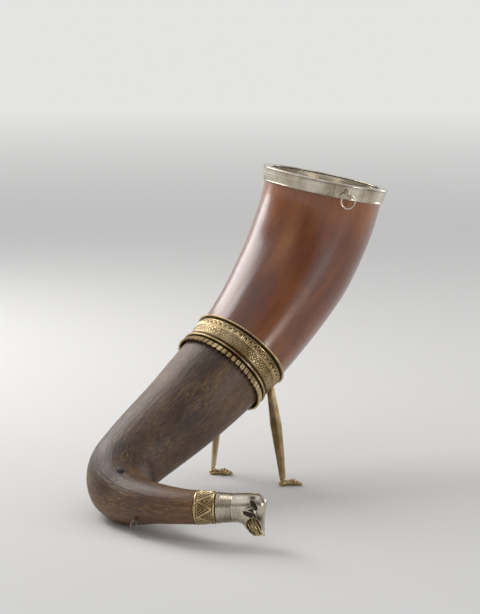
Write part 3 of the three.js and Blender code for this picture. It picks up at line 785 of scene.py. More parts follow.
def dress(
    piece: Piece,
    material: bpy.types.Material,
    slot: Slot,
    *nodes: str,
    body: str = VESSEL,
    degrees: float = 50,
) -> Piece:
    """Gives a finished piece its material and body, and hides the CAD nodes that it stands for.

    Args:
        piece: The piece, in place and in metres.
        material: Its finish.
        slot: The record's slot. It is not used.
        nodes: The CAD nodes that it replaces.
        body: The body that it rides on.
        degrees: The angle up to which its faces shade smooth.

    Returns:
        The same piece.
    """
    smooth(piece, degrees)
    piece.data.materials.clear()
    piece.data.materials.append(material)
    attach(piece, body)
    if nodes:
        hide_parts(*nodes)
    LOG.info("%s: %d faces, for %s", piece.name, len(piece.data.polygons), ", ".join(nodes) or "no node")
    return piece


# The horn


@dataclass
class Horn:
    """The horn itself: scraped smooth above the band, fibrous and worn below it."""

    around: int = 240
    outside_step: float = 1.6
    inside_step: float = 6
    end_round: float = 14
    band_edge: float = 160
    hole_at: tuple[float, float] = (311, 166)  # distance, and degrees from the underside
    hole_radius: float = 2.4
    hole_depth: float = 3.4
    worn_off: float = 0.08  # how far the skin lies under its full size between the mounts
    swirl_reach: float = 5
    swirl_pitch: float = 2.6  # radians of the grain's rings for each millimetre

    def hole_distance(self, angle: float, s: float) -> float:
        """Returns how far a place on the skin is from the knot hole."""
        turned = (math.degrees(angle) - self.hole_at[1] + 180) % 360 - 180
        return math.hypot(s - self.hole_at[0], math.radians(turned) * LINE.radius(s))

    def swirl(self, off: float) -> float:
        """Returns the rings that the grain makes round the knot hole, from -1 to 1."""
        return math.cos(off * self.swirl_pitch) * math.exp(-off / self.swirl_reach)

    def relief(self, angle: float, s: float) -> float:
        """Returns how far the real surface lies from the plain skin, in millimetres."""
        radius = LINE.radius(s)
        x, z = math.sin(angle) * radius, math.cos(angle) * radius

        def grain(across: float, along: float, start: float = 0) -> Vector:
            return Vector((x / across, s / along, z / across + start))

        facets = noise.noise(grain(16, 130)) * 0.14
        scrape = noise.noise(grain(2.6, 90, 7)) * 0.035
        rough = ramp(s, self.band_edge, self.band_edge + 25) * (1 - 0.5 * ramp(s, 320, 368))
        ridges = noise.turbulence(grain(2.1, 18, 31), 3, False) * 0.1 - 0.05
        flaked = ramp(noise.noise(grain(5, 22, 3)), 0.18, 0.42) * -0.1
        covered = ramp(s, 9, 16) * (1 - ramp(s, 140, 146) + ramp(s, 168, 176)) * (1 - ramp(s, 374, 380))
        off = self.hole_distance(angle, s)
        hole = -self.hole_depth * (1 - ramp(off, self.hole_radius * 0.45, self.hole_radius))
        swirl = 0.22 * self.swirl(off) * ramp(off, 1.2, 2.2)
        return covered * (facets + scrape + rough * (ridges + flaked) + swirl - self.worn_off) + hole

    def make(self) -> Piece:
        """Returns the dressed horn."""
        throat = LINE.radius(LINE.hollow) - LINE.wall(LINE.hollow)
        rounding = [math.radians(90 * i / 8) for i in range(8, 0, -1)]
        closing = [
            (LINE.hollow + self.end_round * math.sin(a), throat * math.cos(a) if a < math.pi / 2 else 0.0)
            for a in rounding
        ]
        inside = LINE.over(steps(LINE.hollow, 0, self.inside_step), lambda s: -LINE.wall(s))
        outside = LINE.over(steps(0, LINE.shoulder, self.outside_step), 0)
        pared = LINE.over(steps(LINE.shoulder + 0.05, LINE.length, self.outside_step), 0)
        profile = [*closing, *inside, *outside, *pared, (LINE.length, 0.0)]
        piece = spun("horn_body", profile, self.around, closed=False)
        emboss(piece, self.relief, lambda s: LINE.radius(s) - 1)
        straight = points_of(piece)
        near = np.abs(straight[:, 1] - self.hole_at[0]) < 20
        knot = np.zeros(len(straight))
        for i in np.flatnonzero(near):
            x, y, z = straight[i]
            off = self.hole_distance(math.atan2(x, z), y)
            inside = 1 - ramp(off, self.hole_radius * 0.8, self.hole_radius * 1.15)
            knot[i] = max(inside, (0.45 + 0.25 * self.swirl(off)) * (1 - ramp(off, 3, 6)))
        store(piece, "knot", knot)
        LINE.lay(piece)
        return dress(piece, OxHorn().build(), Slot.HORN, "horn", degrees=60)


# The rim mount


@dataclass
class RimMount:
    """The rim: a flared band, an everted lip and a lining, all polished."""

    around: int = 256
    height: float = 9.3
    flare: float = 1.2
    bead: float = 0.45
    bead_height: float = 1.2
    lining_depth: float = 14
    lip_height: float = 1.2
    overhang: float = 0.9
    seams: tuple[float, ...] = (77, 96, 126, 238, 300)  # scored lines round the band, in degrees
    scored: float = 0.3
    eye_at: float = 3.3
    eye_angle: float = 114

    def top(self, s: float) -> float:
        """Returns the band's height above the horn's skin."""
        return GAP + SHEET + self.flare * max(self.height - s, 0) / self.height

    def score(self, angle: float, s: float) -> float:
        """Returns the band's relief: a few scored lines and two fine ones under the lip."""
        off = min(abs((math.degrees(angle) - seam + 180) % 360 - 180) for seam in self.seams)
        across = math.radians(off) * LINE.radius(s)
        return self.scored * ramp(across, 0.1, 0.32) * (0.6 + 0.4 * ramp(abs(s - 1.5), 0.1, 0.3))

    def band(self) -> Piece:
        """Returns the outer band."""
        edge = self.height - self.bead_height / 2
        stations = steps(0, self.height - self.bead_height, 0.4)
        outer = LINE.over(stations, lambda s: self.top(s) - self.scored)
        crest = LINE.radius(edge) + self.top(edge) + self.bead - self.scored
        bead = arc((edge, crest - self.bead_height / 2), self.bead_height / 2, 150, 10, 8)
        inner = LINE.over(steps(self.height, 0, 2), lambda s: self.top(s) - SHEET)
        piece = spun("rim_outer_band", outer + bead + inner, self.around * 3)
        emboss(piece, self.score, lambda s: LINE.radius(s) + self.top(s) - SHEET / 2)
        return LINE.lay(piece)

    def lining(self) -> Piece:
        """Returns the inner lining."""
        stations = steps(0, self.lining_depth, 1.5)
        outer = LINE.over(stations, lambda s: -LINE.wall(s) - GAP)
        inner = LINE.over(stations[::-1], lambda s: -LINE.wall(s) - GAP - SHEET)
        return LINE.lay(spun("rim_inner_lining", outer + inner, self.around))

    def lip(self) -> Piece:
        """Returns the everted lip, a flat collar with rounded edges."""
        inside = LINE.radius(0) - LINE.mouth_wall - GAP - SHEET
        outside = LINE.radius(0) + self.top(0) + self.overhang
        half = self.lip_height / 2
        middle = -GAP - half
        outer_edge = arc((middle, outside - half), half, 0, 180, 12)
        inner_edge = arc((middle, inside + half), half, 180, 360, 12)
        return LINE.lay(spun("rim_everted_lip", outer_edge + inner_edge, self.around))

    def make(self) -> None:
        """Makes and dresses the three rings."""
        metal = SILVER.build()
        dress(self.band(), SILVER.build(relief=True), Slot.SILVER, "rim_band")
        dress(self.lining(), metal, Slot.SILVER, "rim_lining")
        dress(self.lip(), metal, Slot.SILVER, "rim_lip")


# The middle band


@dataclass
class MiddleBand:
    """The gilt band: two mouldings, an ornamented plate and a skirt of leaf-shaped teeth."""

    start: float = 144.7
    lean: float = 0.06
    wire: float = 2.4
    plate: float = 15.6
    fringe: float = 6
    flare: float = 1.6
    teeth: int = 52
    tooth: float = 2.2
    bays: int = 50
    lines: tuple[Triple, ...] = ((0.9, 0.3, 0.34), (6.95, 0.22, 0.3), (12.9, 0.24, 0.32), (13.8, 0.24, 0.34))
    arcade: tuple[float, float] = (1.7, 6.5)  # where the arches lie, from the plate's edge
    lozenges: tuple[float, float] = (7.5, 12.5)

    @property
    def plate_start(self) -> float:
        """Where the plate begins."""
        return self.start + self.wire + GAP

    @property
    def fringe_start(self) -> float:
        """Where the skirt begins."""
        return self.plate_start + self.plate + 2 * GAP + self.wire

    def moulding(self, name: str, at: float, crest: float) -> Piece:
        """Returns a drawn moulding: a fine bead, and beside it a hollow that stays dark.

        Args:
            name: The piece's name.
            at: The moulding's start along the horn.
            crest: The bead's side, -1 towards the mouth and 1 towards the tip.
        """
        floor = LINE.radius(at + self.wire / 2) + GAP
        bead = self.wire * 0.29
        bead_at = at + (bead if crest < 0 else self.wire - bead)
        far = at + (self.wire if crest < 0 else 0)
        rounded = arc((bead_at, floor + self.wire - bead), bead, 90 - crest * 90, 90 + crest * 70, 12)
        inner = (bead_at - crest * bead * 0.9, floor + self.wire * 0.42)
        rest = [inner, (far + crest * 0.35, floor + 0.75), (far, floor + 1.05), (far, floor)]
        piece = spun(name, [*rounded, *rest, (bead_at + crest * bead, floor)], 260)
        points = points_of(piece)
        rise = np.hypot(points[:, 0], points[:, 2]) - floor
        store(piece, "relief", (0.3 if crest < 0 else 0.17) * (rise - 0.9) / (self.wire - 1.1))
        return LINE.lay(piece, self.lean)

    def ornament(self, angle: float, s: float) -> float:
        """Returns the plate's relief: an arcade over a row of lozenges, each between fine lines."""
        at = s - self.plate_start
        pitch = TURN / self.bays
        width = pitch * LINE.radius(s)
        across = ((angle % pitch) / pitch - 0.5) * width
        relief = 0.0
        for line, half, rise in self.lines:
            relief = max(relief, rise * (1 - ramp(abs(at - line), half * 0.6, half * 1.5)))
        if self.arcade[0] < at < self.arcade[1]:
            up = 6.2 - at
            foot = 1 - ramp(abs(up - 0.2), 0.1, 0.3)
            arch = abs(math.hypot(across, max(up - 2.9, 0)) - width * 0.36)
            relief = max(relief, 0.36 * (1 - ramp(arch, 0.22, 0.42)), 0.3 * foot)
            relief = max(relief, 0.34 * (1 - ramp(abs(across), 0.2, 0.38)) * (1 - ramp(up, 2.2, 2.6)))
        if self.lozenges[0] < at < self.lozenges[1]:
            off = abs(across) / (width * 0.46) + abs(at - 9.95) / 2.5
            relief = max(relief, 0.36 * (1 - ramp(abs(off - 0.8), 0.12, 0.26)))
            relief = max(relief, 0.36 * (1 - ramp(off, 0.16, 0.34)))
            relief = max(relief, 0.26 * ramp(off, 1.34, 1.5))
        return relief

    def ornamented_plate(self) -> Piece:
        """Returns the plate with its relief."""
        stations = steps(self.plate_start, self.plate_start + self.plate, 0.22)
        piece = embossed_plate("band_ornamented_plate", stations, self.bays * 18, self.ornament)
        return LINE.lay(piece, self.lean)

    def leaf_fringe(self) -> Piece:
        """Returns the skirt, its free edge cut into leaves that bulge like gadroons."""
        end = self.fringe_start + self.fringe
        outer = LINE.over(steps(self.fringe_start, end, 0.3), GAP + SHEET)
        inner = LINE.over(steps(end, self.fringe_start, 0.9), GAP)
        piece = spun("band_leaf_fringe", outer + inner, self.teeth * 14)
        pitch = TURN / self.teeth
        points = points_of(piece)
        relief = np.zeros(len(points))
        for i, (x, y, z) in enumerate(points):
            share = (y - self.fringe_start) / self.fringe
            radius = math.hypot(x, z)
            off = abs(((math.atan2(x, z) % pitch) / pitch - 0.5) * 2)
            cut = self.tooth * off**2.2
            outer_face = radius > LINE.radius(y) + GAP + SHEET / 2
            grown = ramp(share, 0.05, 0.3)
            leaf = math.sqrt(max(0.0, 1 - (off / 0.86) ** 2)) * grown
            relief[i] = 0.5 * leaf if outer_face else 0
            y_new = self.fringe_start + share * (self.fringe - cut)
            lift = self.flare * share * (1 - cut / self.fringe)
            wide = radius + lift + (0.8 * leaf - 0.45 * ramp(off, 0.7, 1) * grown if outer_face else 0)
            points[i] = (x * wide / radius, y_new, z * wide / radius)
        set_points(piece, points)
        store(piece, "relief", relief)
        return LINE.lay(piece, self.lean)

    def make(self) -> None:
        """Makes and dresses the band's four pieces."""
        chased = GILT.build(relief=True)
        upper = self.moulding("band_upper_moulding", self.start, -1)
        lower = self.moulding("band_lower_moulding", self.plate_start + self.plate + GAP, 1)
        dress(upper, chased, Slot.GILT, "band_upper_wire")
        dress(self.ornamented_plate(), chased, Slot.GILT, "band_plate")
        dress(lower, chased, Slot.GILT, "band_lower_wire")
        dress(self.leaf_fringe(), chased, Slot.GILT, "band_fringe", degrees=45)


# Legs


@dataclass
class Leg:
    """A cast leg: a keeled shank on a foot with three knuckled toes and claws."""

    node: str
    side: int
    stride: float
    splay: float
    heading: float
    seat_angle: float = 50
    seat_offset: float = 2.6
    root: float = 3.6
    root_rise: float = 1.2
    bow: float = 1.5
    ankle_height: float = 4.2
    widths: tuple[tuple[float, float], ...] = (
        (0, 6), (0.12, 6), (0.24, 6.9), (0.42, 8.4), (0.62, 7.2), (0.82, 5.7), (1, 4.2),
    )
    depth_share: float = 0.72
    section: tuple[tuple[float, float], ...] = (
        (0, 0.62), (-0.12, 0.5), (-0.42, 0.14), (-0.5, 0.02), (-0.5, -0.14), (-0.3, -0.4), (0.3, -0.4),
        (0.5, -0.14), (0.5, 0.02), (0.42, 0.14), (0.12, 0.5),
    )
    toe: tuple[tuple[Triple, float, float, float, float], ...] = (
        ((4.2, 2.2, 3.0), -1.8, 0.8, 2.4, -0.25),
        ((2.8, 2.5, 4.0), 0, 1, 2.5, 0),
        ((2.7, 2.3, 3.0), 2.1, 1.14, 1.7, 0.3),
        ((3.9, 1.4, 1.9), 4.2, 1.26, 1.1, 0.32),
    )  # size, place ahead, share of the spread, height, tilt

    def __post_init__(self) -> None:
        """Works out the seat and the ankle from the band."""
        band = MiddleBand()
        s = band.plate_start + band.plate / 2 - self.seat_offset
        self.out = LINE.outward(s, self.side * self.seat_angle)
        centre, _, _, _ = LINE.frame(s)
        self.seat = centre + self.out * (LINE.radius(s) + GAP + SHEET)
        x, y = self.seat.x + self.stride, self.seat.y - self.side * self.splay
        self.ankle = Vector((x, y, self.ankle_height))

    def shank(self) -> Piece:
        """Returns the keeled bar from the band to the ankle, its keel and edges eased by filing."""
        start = self.seat - self.out * self.root + Vector((0, 0, self.root_rise))
        knee = self.seat.lerp(self.ankle, 1 / 3)
        knee.y -= self.side * self.bow
        knee.z = (self.seat.z + self.ankle.z) / 2
        ridge = Vector((-0.5, -self.side, 0)).normalized()
        across = Vector((0, 0, 1)).cross(ridge)
        rings = []
        for share in steps(0.05, 1, 0.035):
            centre = start * (1 - share) ** 2 + knee * (2 * share * (1 - share)) + self.ankle * share**2
            width = float(np.interp(share, *zip(*self.widths)))
            depth = width * self.depth_share
            rings.append([centre + across * (x * width) + ridge * (y * depth) for x, y in self.section])
        sharp = math.radians(24)
        eased = {"width": 0.25, "segments": 2, "limit_method": "ANGLE", "angle_limit": sharp}
        return finish_modifier(lofted("shank", rings), "BEVEL", **eased)

    def place(self, along: float, across: float, up: float) -> Vector:
        """Returns a place on the foot, measured from the ankle towards the toes."""
        turn = math.radians(self.heading)
        x = self.ankle.x + along * math.cos(turn) - across * math.sin(turn)
        y = self.ankle.y + along * math.sin(turn) + across * math.cos(turn)
        return Vector((x, y, up))

    def foot(self) -> Piece:
        """Returns the foot, from heel to claws, cast in one."""
        turn = math.radians(self.heading)
        pieces = [
            lump((6.0, 5.0, 4.8), self.place(-0.1, 0, 2.0), (0, 0, turn)),
            lump((4.2, 4.0, 5.4), self.place(0.2, 0, 4.2), (0, 0, turn)),
            lump((9.0, 4.8, 3.4), self.place(3.6, 0, 2.1), (0, 0.08, turn)),
        ]
        for side in (-1, 0, 1):
            heading = turn + math.radians(13 * side)
            along, across = 8.6 - 0.6 * abs(side), 2.4 * side
            # Each toe rises to a knuckle, dips to the next joint and ends in a claw bent to the ground.
            for size, ahead, spread, up, tilt in self.toe:
                place = self.place(along + ahead, across * spread, up)
                pieces.append(lump(size, place, (0, tilt, heading)))
        return fused("foot", pieces, 0.2, 1)

    def make(self) -> None:
        """Makes and dresses the leg."""
        foot = self.foot()
        keep_wear(foot, 8)
        shank = self.shank()
        store(shank, "relief", np.full(len(shank.data.vertices), RUBBED))
        piece = join(self.node + "_cast", [shank, foot])
        points = points_of(piece)
        points[:, 2] = np.maximum(points[:, 2], 0.02)
        set_points(piece, points * MM)
        dress(piece, GILT.build(relief=True), Slot.GILT, self.node, degrees=32)


# The tip mount


@dataclass
class TipMount:
    """The tip's collar between two bead wires, and the hatched neck of the finial."""

    start: float = 382
    length: float = 12.4
    wire: float = 1.4
    groove: float = 0.9
    neck: float = 10
    neck_wall: float = 0.6
    roll: float = 0.35
    roll_length: float = 2
    neck_front: float = 18.8
    chevrons: int = 6
    hatch: float = 0.9
    around: int = 128

    @property
    def end(self) -> float:
        """Where the collar ends."""
        return self.start + self.length

    @property
    def neck_start(self) -> float:
        """Where the neck begins."""
        return self.end + self.groove

    def ring(self, name: str, at: float) -> Piece:
        """Returns a round wire at a distance."""
        centre = (at, LINE.radius(at) + GAP + self.wire / 2)
        return LINE.lay(spun(name, arc(centre, self.wire / 2, 0, 342, 19), self.around))

    def ornament(self, angle: float, s: float) -> float:
        """Returns the collar's relief: a bold zigzag, its fields filled with lines that follow it."""
        at = (s - self.start - self.length / 2) / (self.length / 2 - self.wire - GAP)
        share = (angle / TURN * self.chevrons) % 1
        fold = abs(share - 0.5) * 2
        slant = fold - (at * 0.5 + 0.5)
        ridge = 0.4 * (1 - ramp(abs(slant), 0.09, 0.17))
        lines = slant * 3.6 + 0.2
        hatch = (0.3 if abs(slant) > 0.17 else 0) * (1 - ramp(abs((lines % 1) - 0.5), 0.14, 0.3))
        edge = 0.34 * ramp(abs(at), 0.9, 0.95)
        return max(ridge, hatch, edge)

    def collar(self) -> Piece:
        """Returns the collar's plate with its relief."""
        stations = steps(self.start + self.wire + GAP, self.end - self.wire - GAP, 0.14)
        return LINE.lay(embossed_plate("collar_chased_plate", stations, self.chevrons * 80, self.ornament))

    def neck_sleeve(self) -> Piece:
        """Returns the finial's neck, hatched round and rolled at its back edge."""
        start = self.neck_start
        back = LINE.radius(start) + GAP
        front = self.neck_front / 2
        outside = []
        for distance in steps(0, self.neck, self.hatch / 6):
            share = distance / self.neck
            rolled = self.roll * (1 - ramp(distance, self.roll_length * 0.8, self.roll_length * 1.2))
            plain = ramp(distance, self.roll_length, self.roll_length * 1.6)
            line = 0.08 * math.sin(distance / self.hatch * TURN) * plain
            flare = (front - back - self.neck_wall) * share**2
            outside.append((start + distance, back + self.neck_wall + flare + rolled + line))
        bottom = LINE.length + GAP
        socket = [(bottom, 0.0), (bottom, LINE.radius(LINE.length) + GAP), (start, back)]
        piece = spun("finial_hatched_neck", [*socket, *outside, (start + self.neck, 0.0)], 144, closed=False)
        waves = np.sin((points_of(piece)[:, 1] - start) / self.hatch * TURN)
        store(piece, "relief", RUBBED + 0.02 + 0.1 * waves)
        return LINE.lay(piece)

    def make(self) -> None:
        """Makes and dresses the tip mount's four pieces."""
        plain, chased, silver = GILT.build(), GILT.build(relief=True), SILVER.build(relief=True)
        dress(self.ring("collar_back_bead", self.start + self.wire / 2), plain, Slot.GILT, "collar_back_wire")
        dress(self.collar(), chased, Slot.GILT, "collar_plate")
        dress(self.ring("collar_front_bead", self.end - self.wire / 2), plain, Slot.GILT, "collar_front_wire")
        dress(self.neck_sleeve(), silver, Slot.SILVER, "finial_neck")


@dataclass(frozen=True)
class Lump:
    """A rounded feature of the head, in units of the neck's front radius."""

    along: float
    up: float
    side: float
    size: Triple
    tilt: float = 0

    def add(self, unit: float, way: int, fine: int = 32) -> Piece:
        """Adds the lump on one cheek, in millimetres."""
        place = Vector((self.along, self.side * way, self.up)) * unit
        return lump(tuple(v * unit for v in self.size), place, (0, -self.tilt, 0), fine)


@dataclass
class BeastHead:
    """The finial's beast: its head bends down from the neck, and its long mouth opens back towards the neck.

    Each section runs from the crown or the brow to the throat or the jaw, with its width.
    """

    sections: tuple[tuple[float, ...], ...] = (
        (-0.025, 1, -0.025, -1, 2), (0.66, 1.02, 0.36, -0.98, 2.02), (1.32, 1.03, 0.56, -1.03, 1.98),
        (1.94, 0.97, 0.66, -1.14, 1.86), (2.35, 0.5, 0.76, -1.32, 1.7), (2.2, -0.22, 0.88, -1.52, 1.48),
        (2.13, -0.86, 1.06, -1.72, 1.3), (2.1, -1.4, 1.28, -1.88, 1.1), (1.98, -1.83, 1.58, -2.02, 0.76),
    )
    squareness: float = 0.9
    between: int = 5
    sides: int = 56
    mouth: tuple[tuple[float, float], ...] = (
        (1.3, -0.5), (0.98, -0.84), (0.99, -1.25), (1.2, -1.58), (1.46, -1.82), (1.52, -2.3), (1.84, -2.3),
        (1.92, -1.7), (1.94, -1.2), (1.8, -0.7), (1.56, -0.52),
    )
    palate: Lump = Lump(1.46, -1.2, 0, (1.06, 0.8, 1.6), 0.3)
    ridge_size: Triple = (0.17, 1.02, 1.5)
    ridge_places: tuple[float, ...] = (-1.5, -0.5, 0.5, 1.5)  # along the palate, in steps between ridges
    ridge_step: tuple[float, float] = (0.24, -0.07)  # along and up
    sockets: tuple[Lump, ...] = (
        Lump(1.56, 0.5, 0.98, (1.3, 0.66, 0.4), -1.0),
        Lump(1.42, -0.34, 1.02, (1.4, 0.56, 0.42), -0.5),
    )
    raised: tuple[Lump, ...] = (
        Lump(1.18, 0.16, 0.86, (0.9, 0.3, 0.17), 0.25),
        Lump(1.62, 0.0, 0.8, (0.17, 0.3, 0.66), 0.42),
        Lump(0.36, 0.06, 0.94, (0.22, 0.2, 0.22)),
        Lump(0.62, -0.2, 0.94, (0.22, 0.2, 0.22)),
        Lump(1.52, -0.42, 0.74, (0.2, 0.22, 0.2)),
        Lump(1.96, -1.6, 0.34, (0.2, 0.2, 0.3)),
    )
    # where a dark band of painted shade runs along each cheek's hollow, as points along and up
    cheek_shade_path: tuple[tuple[float, float], ...] = (
        (1.46, 0.86), (1.64, 0.4), (1.4, -0.1), (1.82, -0.62),
    )

    def painted_cheek_shade(self, points: np.ndarray) -> np.ndarray:
        """Returns the painted shade of each point, from 0 to 1: a dark band of painted shade lies along the
        hollow of each cheek.

        Args:
            points: The points, in units of the neck's front radius.
        """
        flat = points[:, [0, 2]]
        nearest = np.full(len(points), np.inf)
        for start, end in zip(np.array(self.cheek_shade_path), np.array(self.cheek_shade_path[1:])):
            run = end - start
            share = np.clip((flat - start) @ run / (run @ run), 0, 1)
            nearest = np.minimum(nearest, np.linalg.norm(flat - start - share[:, None] * run, axis=1))
        side = np.clip((np.abs(points[:, 1]) - 0.25) / 0.25, 0, 1)
        return side * np.clip((0.38 - nearest) / 0.32, 0, 1)

    def skull(self, unit: float) -> Piece:
        """Returns the head's main form."""
        rows = np.array(self.sections)
        stations = np.arange(len(rows))
        fine = np.linspace(0, len(rows) - 1, (len(rows) - 1) * self.between + 1)
        rows = np.stack([np.interp(fine, stations, column) for column in rows.T], axis=1)
        for _ in range(2):
            rows[1:-1] = (rows[:-2] + 2 * rows[1:-1] + rows[2:]) / 4
        rings = []
        for crown_x, crown_z, throat_x, throat_z, width in rows:
            ring = []
            for i in range(self.sides):
                c, s = math.cos(TURN * i / self.sides), math.sin(TURN * i / self.sides)
                c, s = (math.copysign(abs(v) ** self.squareness, v) for v in (c, s))
                share = (1 + c) / 2
                x, z = throat_x + (crown_x - throat_x) * share, throat_z + (crown_z - throat_z) * share
                ring.append(Vector((x, width / 2 * s, z)) * unit)
            rings.append(ring)
        return lofted("skull", rings)

    def mouth_tool(self, unit: float) -> Piece:
        """Returns what is cut out of the head for the open mouth."""
        ends = [[Vector((x, side, z)) * unit for x, z in self.mouth] for side in (-1.5, 1.5)]
        return lofted("mouth_tool", ends)

    def cut(self, head: Piece, tool: Piece) -> None:
        """Cuts a tool out of the head and removes it."""
        finish_modifier(head, "BOOLEAN", operation="DIFFERENCE", solver="EXACT", object=tool)
        bpy.data.objects.remove(tool)

    def make(self) -> None:
        """Makes and dresses the head."""
        tip = TipMount()
        unit = tip.neck_front / 2
        centre, along, _, _ = LINE.frame(tip.neck_start + tip.neck)
        up = (Vector((0, 0, 1)) - along * along.z).normalized()
        basis = Matrix((along, up.cross(along), up)).transposed()
        skull = self.skull(unit)
        self.cut(skull, self.mouth_tool(unit))
        for socket in self.sockets:
            for way in (-1, 1):
                self.cut(skull, socket.add(unit, way))
        features = [feature.add(unit, way) for feature in self.raised for way in (-1, 1)]
        head = fused("finial_beast_head", [skull, *features], 0.24, 5)
        along_head = points_of(head)[:, 0]
        hatched = np.sin(along_head / tip.hatch * TURN) * np.clip(2.4 - along_head / unit * 3, 0, 1)
        worn = np.clip(keep_wear(head, 50), 0, 0.3)
        # The cheeks' painted shade is taken off the relief, so that the metal paints it dark.
        store(head, "relief", worn + 0.07 * hatched - 0.2 * self.painted_cheek_shade(points_of(head) / unit))
        store(head, "gilded", np.zeros(len(head.data.vertices)))
        core = self.palate
        parts = [core.add(unit, 1)]
        for i in self.ridge_places:
            along_palate, up_palate = core.along + self.ridge_step[0] * i, core.up + self.ridge_step[1] * i
            parts.append(Lump(along_palate, up_palate, 0, self.ridge_size, 0.36).add(unit, 1))
        tongue = fused("palate", parts, 0.22, 1)
        keep_wear(tongue, 8)
        store(tongue, "gilded", np.ones(len(tongue.data.vertices)))
        head = join("finial_beast_head", [head, tongue])
        place = centre + along * GAP
        turned = points_of(head) @ np.array(basis).T + np.array(place)
        set_points(head, turned * MM)
        dress(head, SILVER.build(relief=True, gilding=GILT.bright), Slot.SILVER, "finial_head", degrees=60)


# Rings and eyes


@dataclass
class HangingPair:
    """A wire loop on a small pad, and the ring that hangs in it."""

    eye_node: str
    ring_node: str
    joint: str
    ring_diameter: float
    ring_wire: float
    loop: float
    loop_wire: float
    pad: float
    place: Matrix
    metal: OldMetal
    pad_height: float = 0.6

    def make(self) -> None:
        """Makes and dresses the eye and the ring."""
        joint = next(j for j in frame["joints"] if j["name"] == self.joint)
        hinge = Vector(joint["pos_m"]) / MM
        axis = Vector(joint["axis"]).normalized()
        radius = (self.ring_diameter - self.ring_wire) / 2
        upright = Vector((0, 0, 1))
        ring = torus(hinge - upright * radius, axis.cross(upright), radius, self.ring_wire, (72, 16))
        ring.name = self.ring_node + "_wire"
        to_metres(ring)
        dress(ring, self.metal.build(), Slot.SILVER, self.ring_node, body=self.ring_node)
        out = self.place.col[1].to_3d()
        base = self.place.to_translation() + out * GAP
        level = out.cross(upright).normalized()
        bend = (self.loop - self.loop_wire) / 2
        loop = torus(base + out * (self.pad_height + bend), level, bend, self.loop_wire, (40, 14))
        deselect()
        bpy.ops.mesh.primitive_cylinder_add(
            vertices=40,
            radius=self.pad / 2,
            depth=self.pad_height,
            location=base + out * (self.pad_height / 2),
            rotation=out.to_track_quat("Z", "Y").to_euler(),
        )
        pad = apply_place(bpy.context.object)
        finish_modifier(pad, "BEVEL", width=0.2, segments=3)
        eye = join(self.eye_node + "_loop", [loop, pad])
        to_metres(eye)
        dress(eye, self.metal.build(), Slot.SILVER, self.eye_node)


# Studio


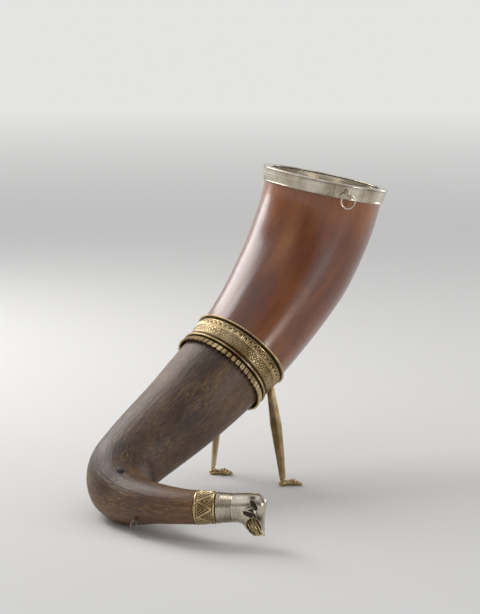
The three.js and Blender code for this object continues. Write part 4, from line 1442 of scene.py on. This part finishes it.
@dataclass
class Studio:
    """A pale floor, soft lamps and the camera at the photograph's angle."""

    camera_place: Triple = (-0.929586, -0.996981, 0.375629)
    azimuth: float = -42
    elevation: float = 10
    lens: float = 117.3

    def make(self) -> None:
        """Makes the floor, the lamps, the world and the camera."""
        self.floor()
        self.lamp("key_strip", (-0.17, 0.79, 0.71), (0.4, 1.06), 7.0, (-0.36, -0.66, 0.66))
        self.lamp("crook_light", (0.42, -1.1, 0.38), (0.18, 0.24), 2.2)
        self.lamp("left_panel", (-2.0, 0.1, 1.5), (2.4, 2.4), 3.0)
        self.lamp("right_card", (1.15, -0.05, 0.1), (0.3, 0.8), 3.0)
        self.world()
        self.camera()

    def floor(self) -> None:
        """Adds the floor, wide enough to be the whole background."""
        deselect()
        bpy.ops.mesh.primitive_plane_add(size=80, location=(0, 0, 0))
        floor = bpy.context.object
        floor.name = "floor"
        material, shade, shader = new_material("matte_paper_floor")
        shader.inputs["Base Color"].default_value = colour("#dedddb")
        shader.inputs["Roughness"].default_value = 0.9
        shader.inputs["Specular IOR Level"].default_value = 0.1
        # Away from the horn the paper is shown evenly pale, as a lit backdrop would be.
        place = shade.add("TexCoord").outputs["Object"]
        reach = shade.add("VectorMath", {0: place}, operation="LENGTH").outputs["Value"]
        rays = shade.add("LightPath").outputs
        mirrored = shade.math("MAXIMUM", rays["Is Glossy Ray"], rays["Is Transmission Ray"])
        seen = shade.math("MAXIMUM", rays["Is Camera Ray"], mirrored)
        shown = shade.math("MULTIPLY", shade.share(reach, 0.7, 3.5), seen)
        glow = shade.add("Emission", {"Color": colour("#e4e4e3"), "Strength": 1.0})
        blend = shade.add("MixShader", {0: shown, 1: shader.outputs[0], 2: glow.outputs[0]})
        shade.feed(shade.tree.nodes["Material Output"], {"Surface": blend.outputs[0]})
        floor.data.materials.append(material)

    def lamp(
        self, name: str, place: Triple, size: tuple[float, float], watts: float, up: Triple = (0, 0, 1)
    ) -> None:
        """Adds a lamp that faces the horn.

        Args:
            name: The lamp's name.
            place: Where it stands, in metres.
            size: Its width and height, in metres.
            watts: Its power.
            up: The way its height runs.
        """
        deselect()
        back = (Vector(place) - Vector((0, 0, 0.1))).normalized()
        across = Vector(up).cross(back).normalized()
        turn = Matrix((across, back.cross(across), back)).transposed()
        bpy.ops.object.light_add(type="AREA", location=place, rotation=turn.to_euler())
        lamp = bpy.context.object
        lamp.name = name
        lamp.data.shape = "RECTANGLE"
        lamp.data.size, lamp.data.size_y = size
        lamp.data.energy = watts

    def world(self) -> None:
        """Sets the world's light: a pale backdrop, a dim room above it and a bright ceiling."""
        world = bpy.data.worlds.new("studio")
        bpy.context.scene.world = world
        world.use_nodes = True
        shade = Shading(world.node_tree)
        background = shade.tree.nodes["Background"]
        background.inputs["Color"].default_value = colour("#e8e8ea")
        ray = shade.add("TexCoord").outputs["Generated"]
        height = shade.add("SeparateXYZ", {0: ray}).outputs["Z"]
        backdrop = shade.share(height, 0.18, 0.3, 0.97, 0.12)
        ceiling = shade.share(height, 0.42, 0.85, 0.12, 0.95)
        shade.feed(background, {"Strength": shade.math("MAXIMUM", backdrop, ceiling)})

    def camera(self) -> None:
        """Adds the camera."""
        deselect()
        turn = (math.radians(90 - self.elevation), 0, math.radians(self.azimuth))
        bpy.ops.object.camera_add(location=self.camera_place, rotation=turn)
        camera = bpy.context.object
        camera.data.lens = self.lens
        camera.data.sensor_width = 36
        bpy.context.scene.camera = camera


@dataclass
class Pins:
    """The pins that hold the mounts, which keep their CAD shape."""

    silver: tuple[str, ...] = ("rim_pin_1", "rim_pin_2", "rim_pin_3")
    gilt: tuple[str, ...] = ("band_pin_1", "band_pin_2", "band_pin_3", "collar_pin")

    def make(self) -> None:
        """Dresses the pins."""
        for names, metal in ((self.silver, SILVER), (self.gilt, GILT)):
            material = metal.build()
            for name in names:
                pin = frame["nodes"][name]
                pin.data.materials.clear()
                pin.data.materials.append(material)
                LOG.info("%s: dressed", name)


def main() -> None:
    """Builds the studio and every piece of the horn."""
    logging.basicConfig(level=logging.INFO, format="%(name)s %(message)s")
    bpy.context.scene.view_settings.view_transform = "Standard"
    Studio().make()
    Horn().make()
    rim = RimMount()
    rim.make()
    MiddleBand().make()
    Leg("right_leg", side=1, stride=4.8, splay=5.2, heading=-26).make()
    Leg("left_leg", side=-1, stride=-9.6, splay=-1, heading=-44).make()
    TipMount().make()
    BeastHead().make()
    HangingPair(
        "rim_eye",
        "rim_ring",
        "rim_ring_swing",
        ring_diameter=11.4,
        ring_wire=1.1,
        loop=4.8,
        loop_wire=1,
        pad=4,
        place=LINE.seat(rim.top, rim.eye_at, LINE.outward(rim.eye_at, rim.eye_angle)),
        metal=SILVER,
    ).make()
    HangingPair(
        "belly_eye",
        "belly_ring",
        "belly_ring_swing",
        ring_diameter=7,
        ring_wire=0.9,
        loop=3.6,
        loop_wire=0.8,
        pad=3.6,
        place=LINE.seat(lambda s: 0.0, 340.2, Vector((-0.8, 0, -0.6))),
        metal=DARKER_SILVER,
    ).make()
    Pins().make()


if __name__ == "__main__":
    main()
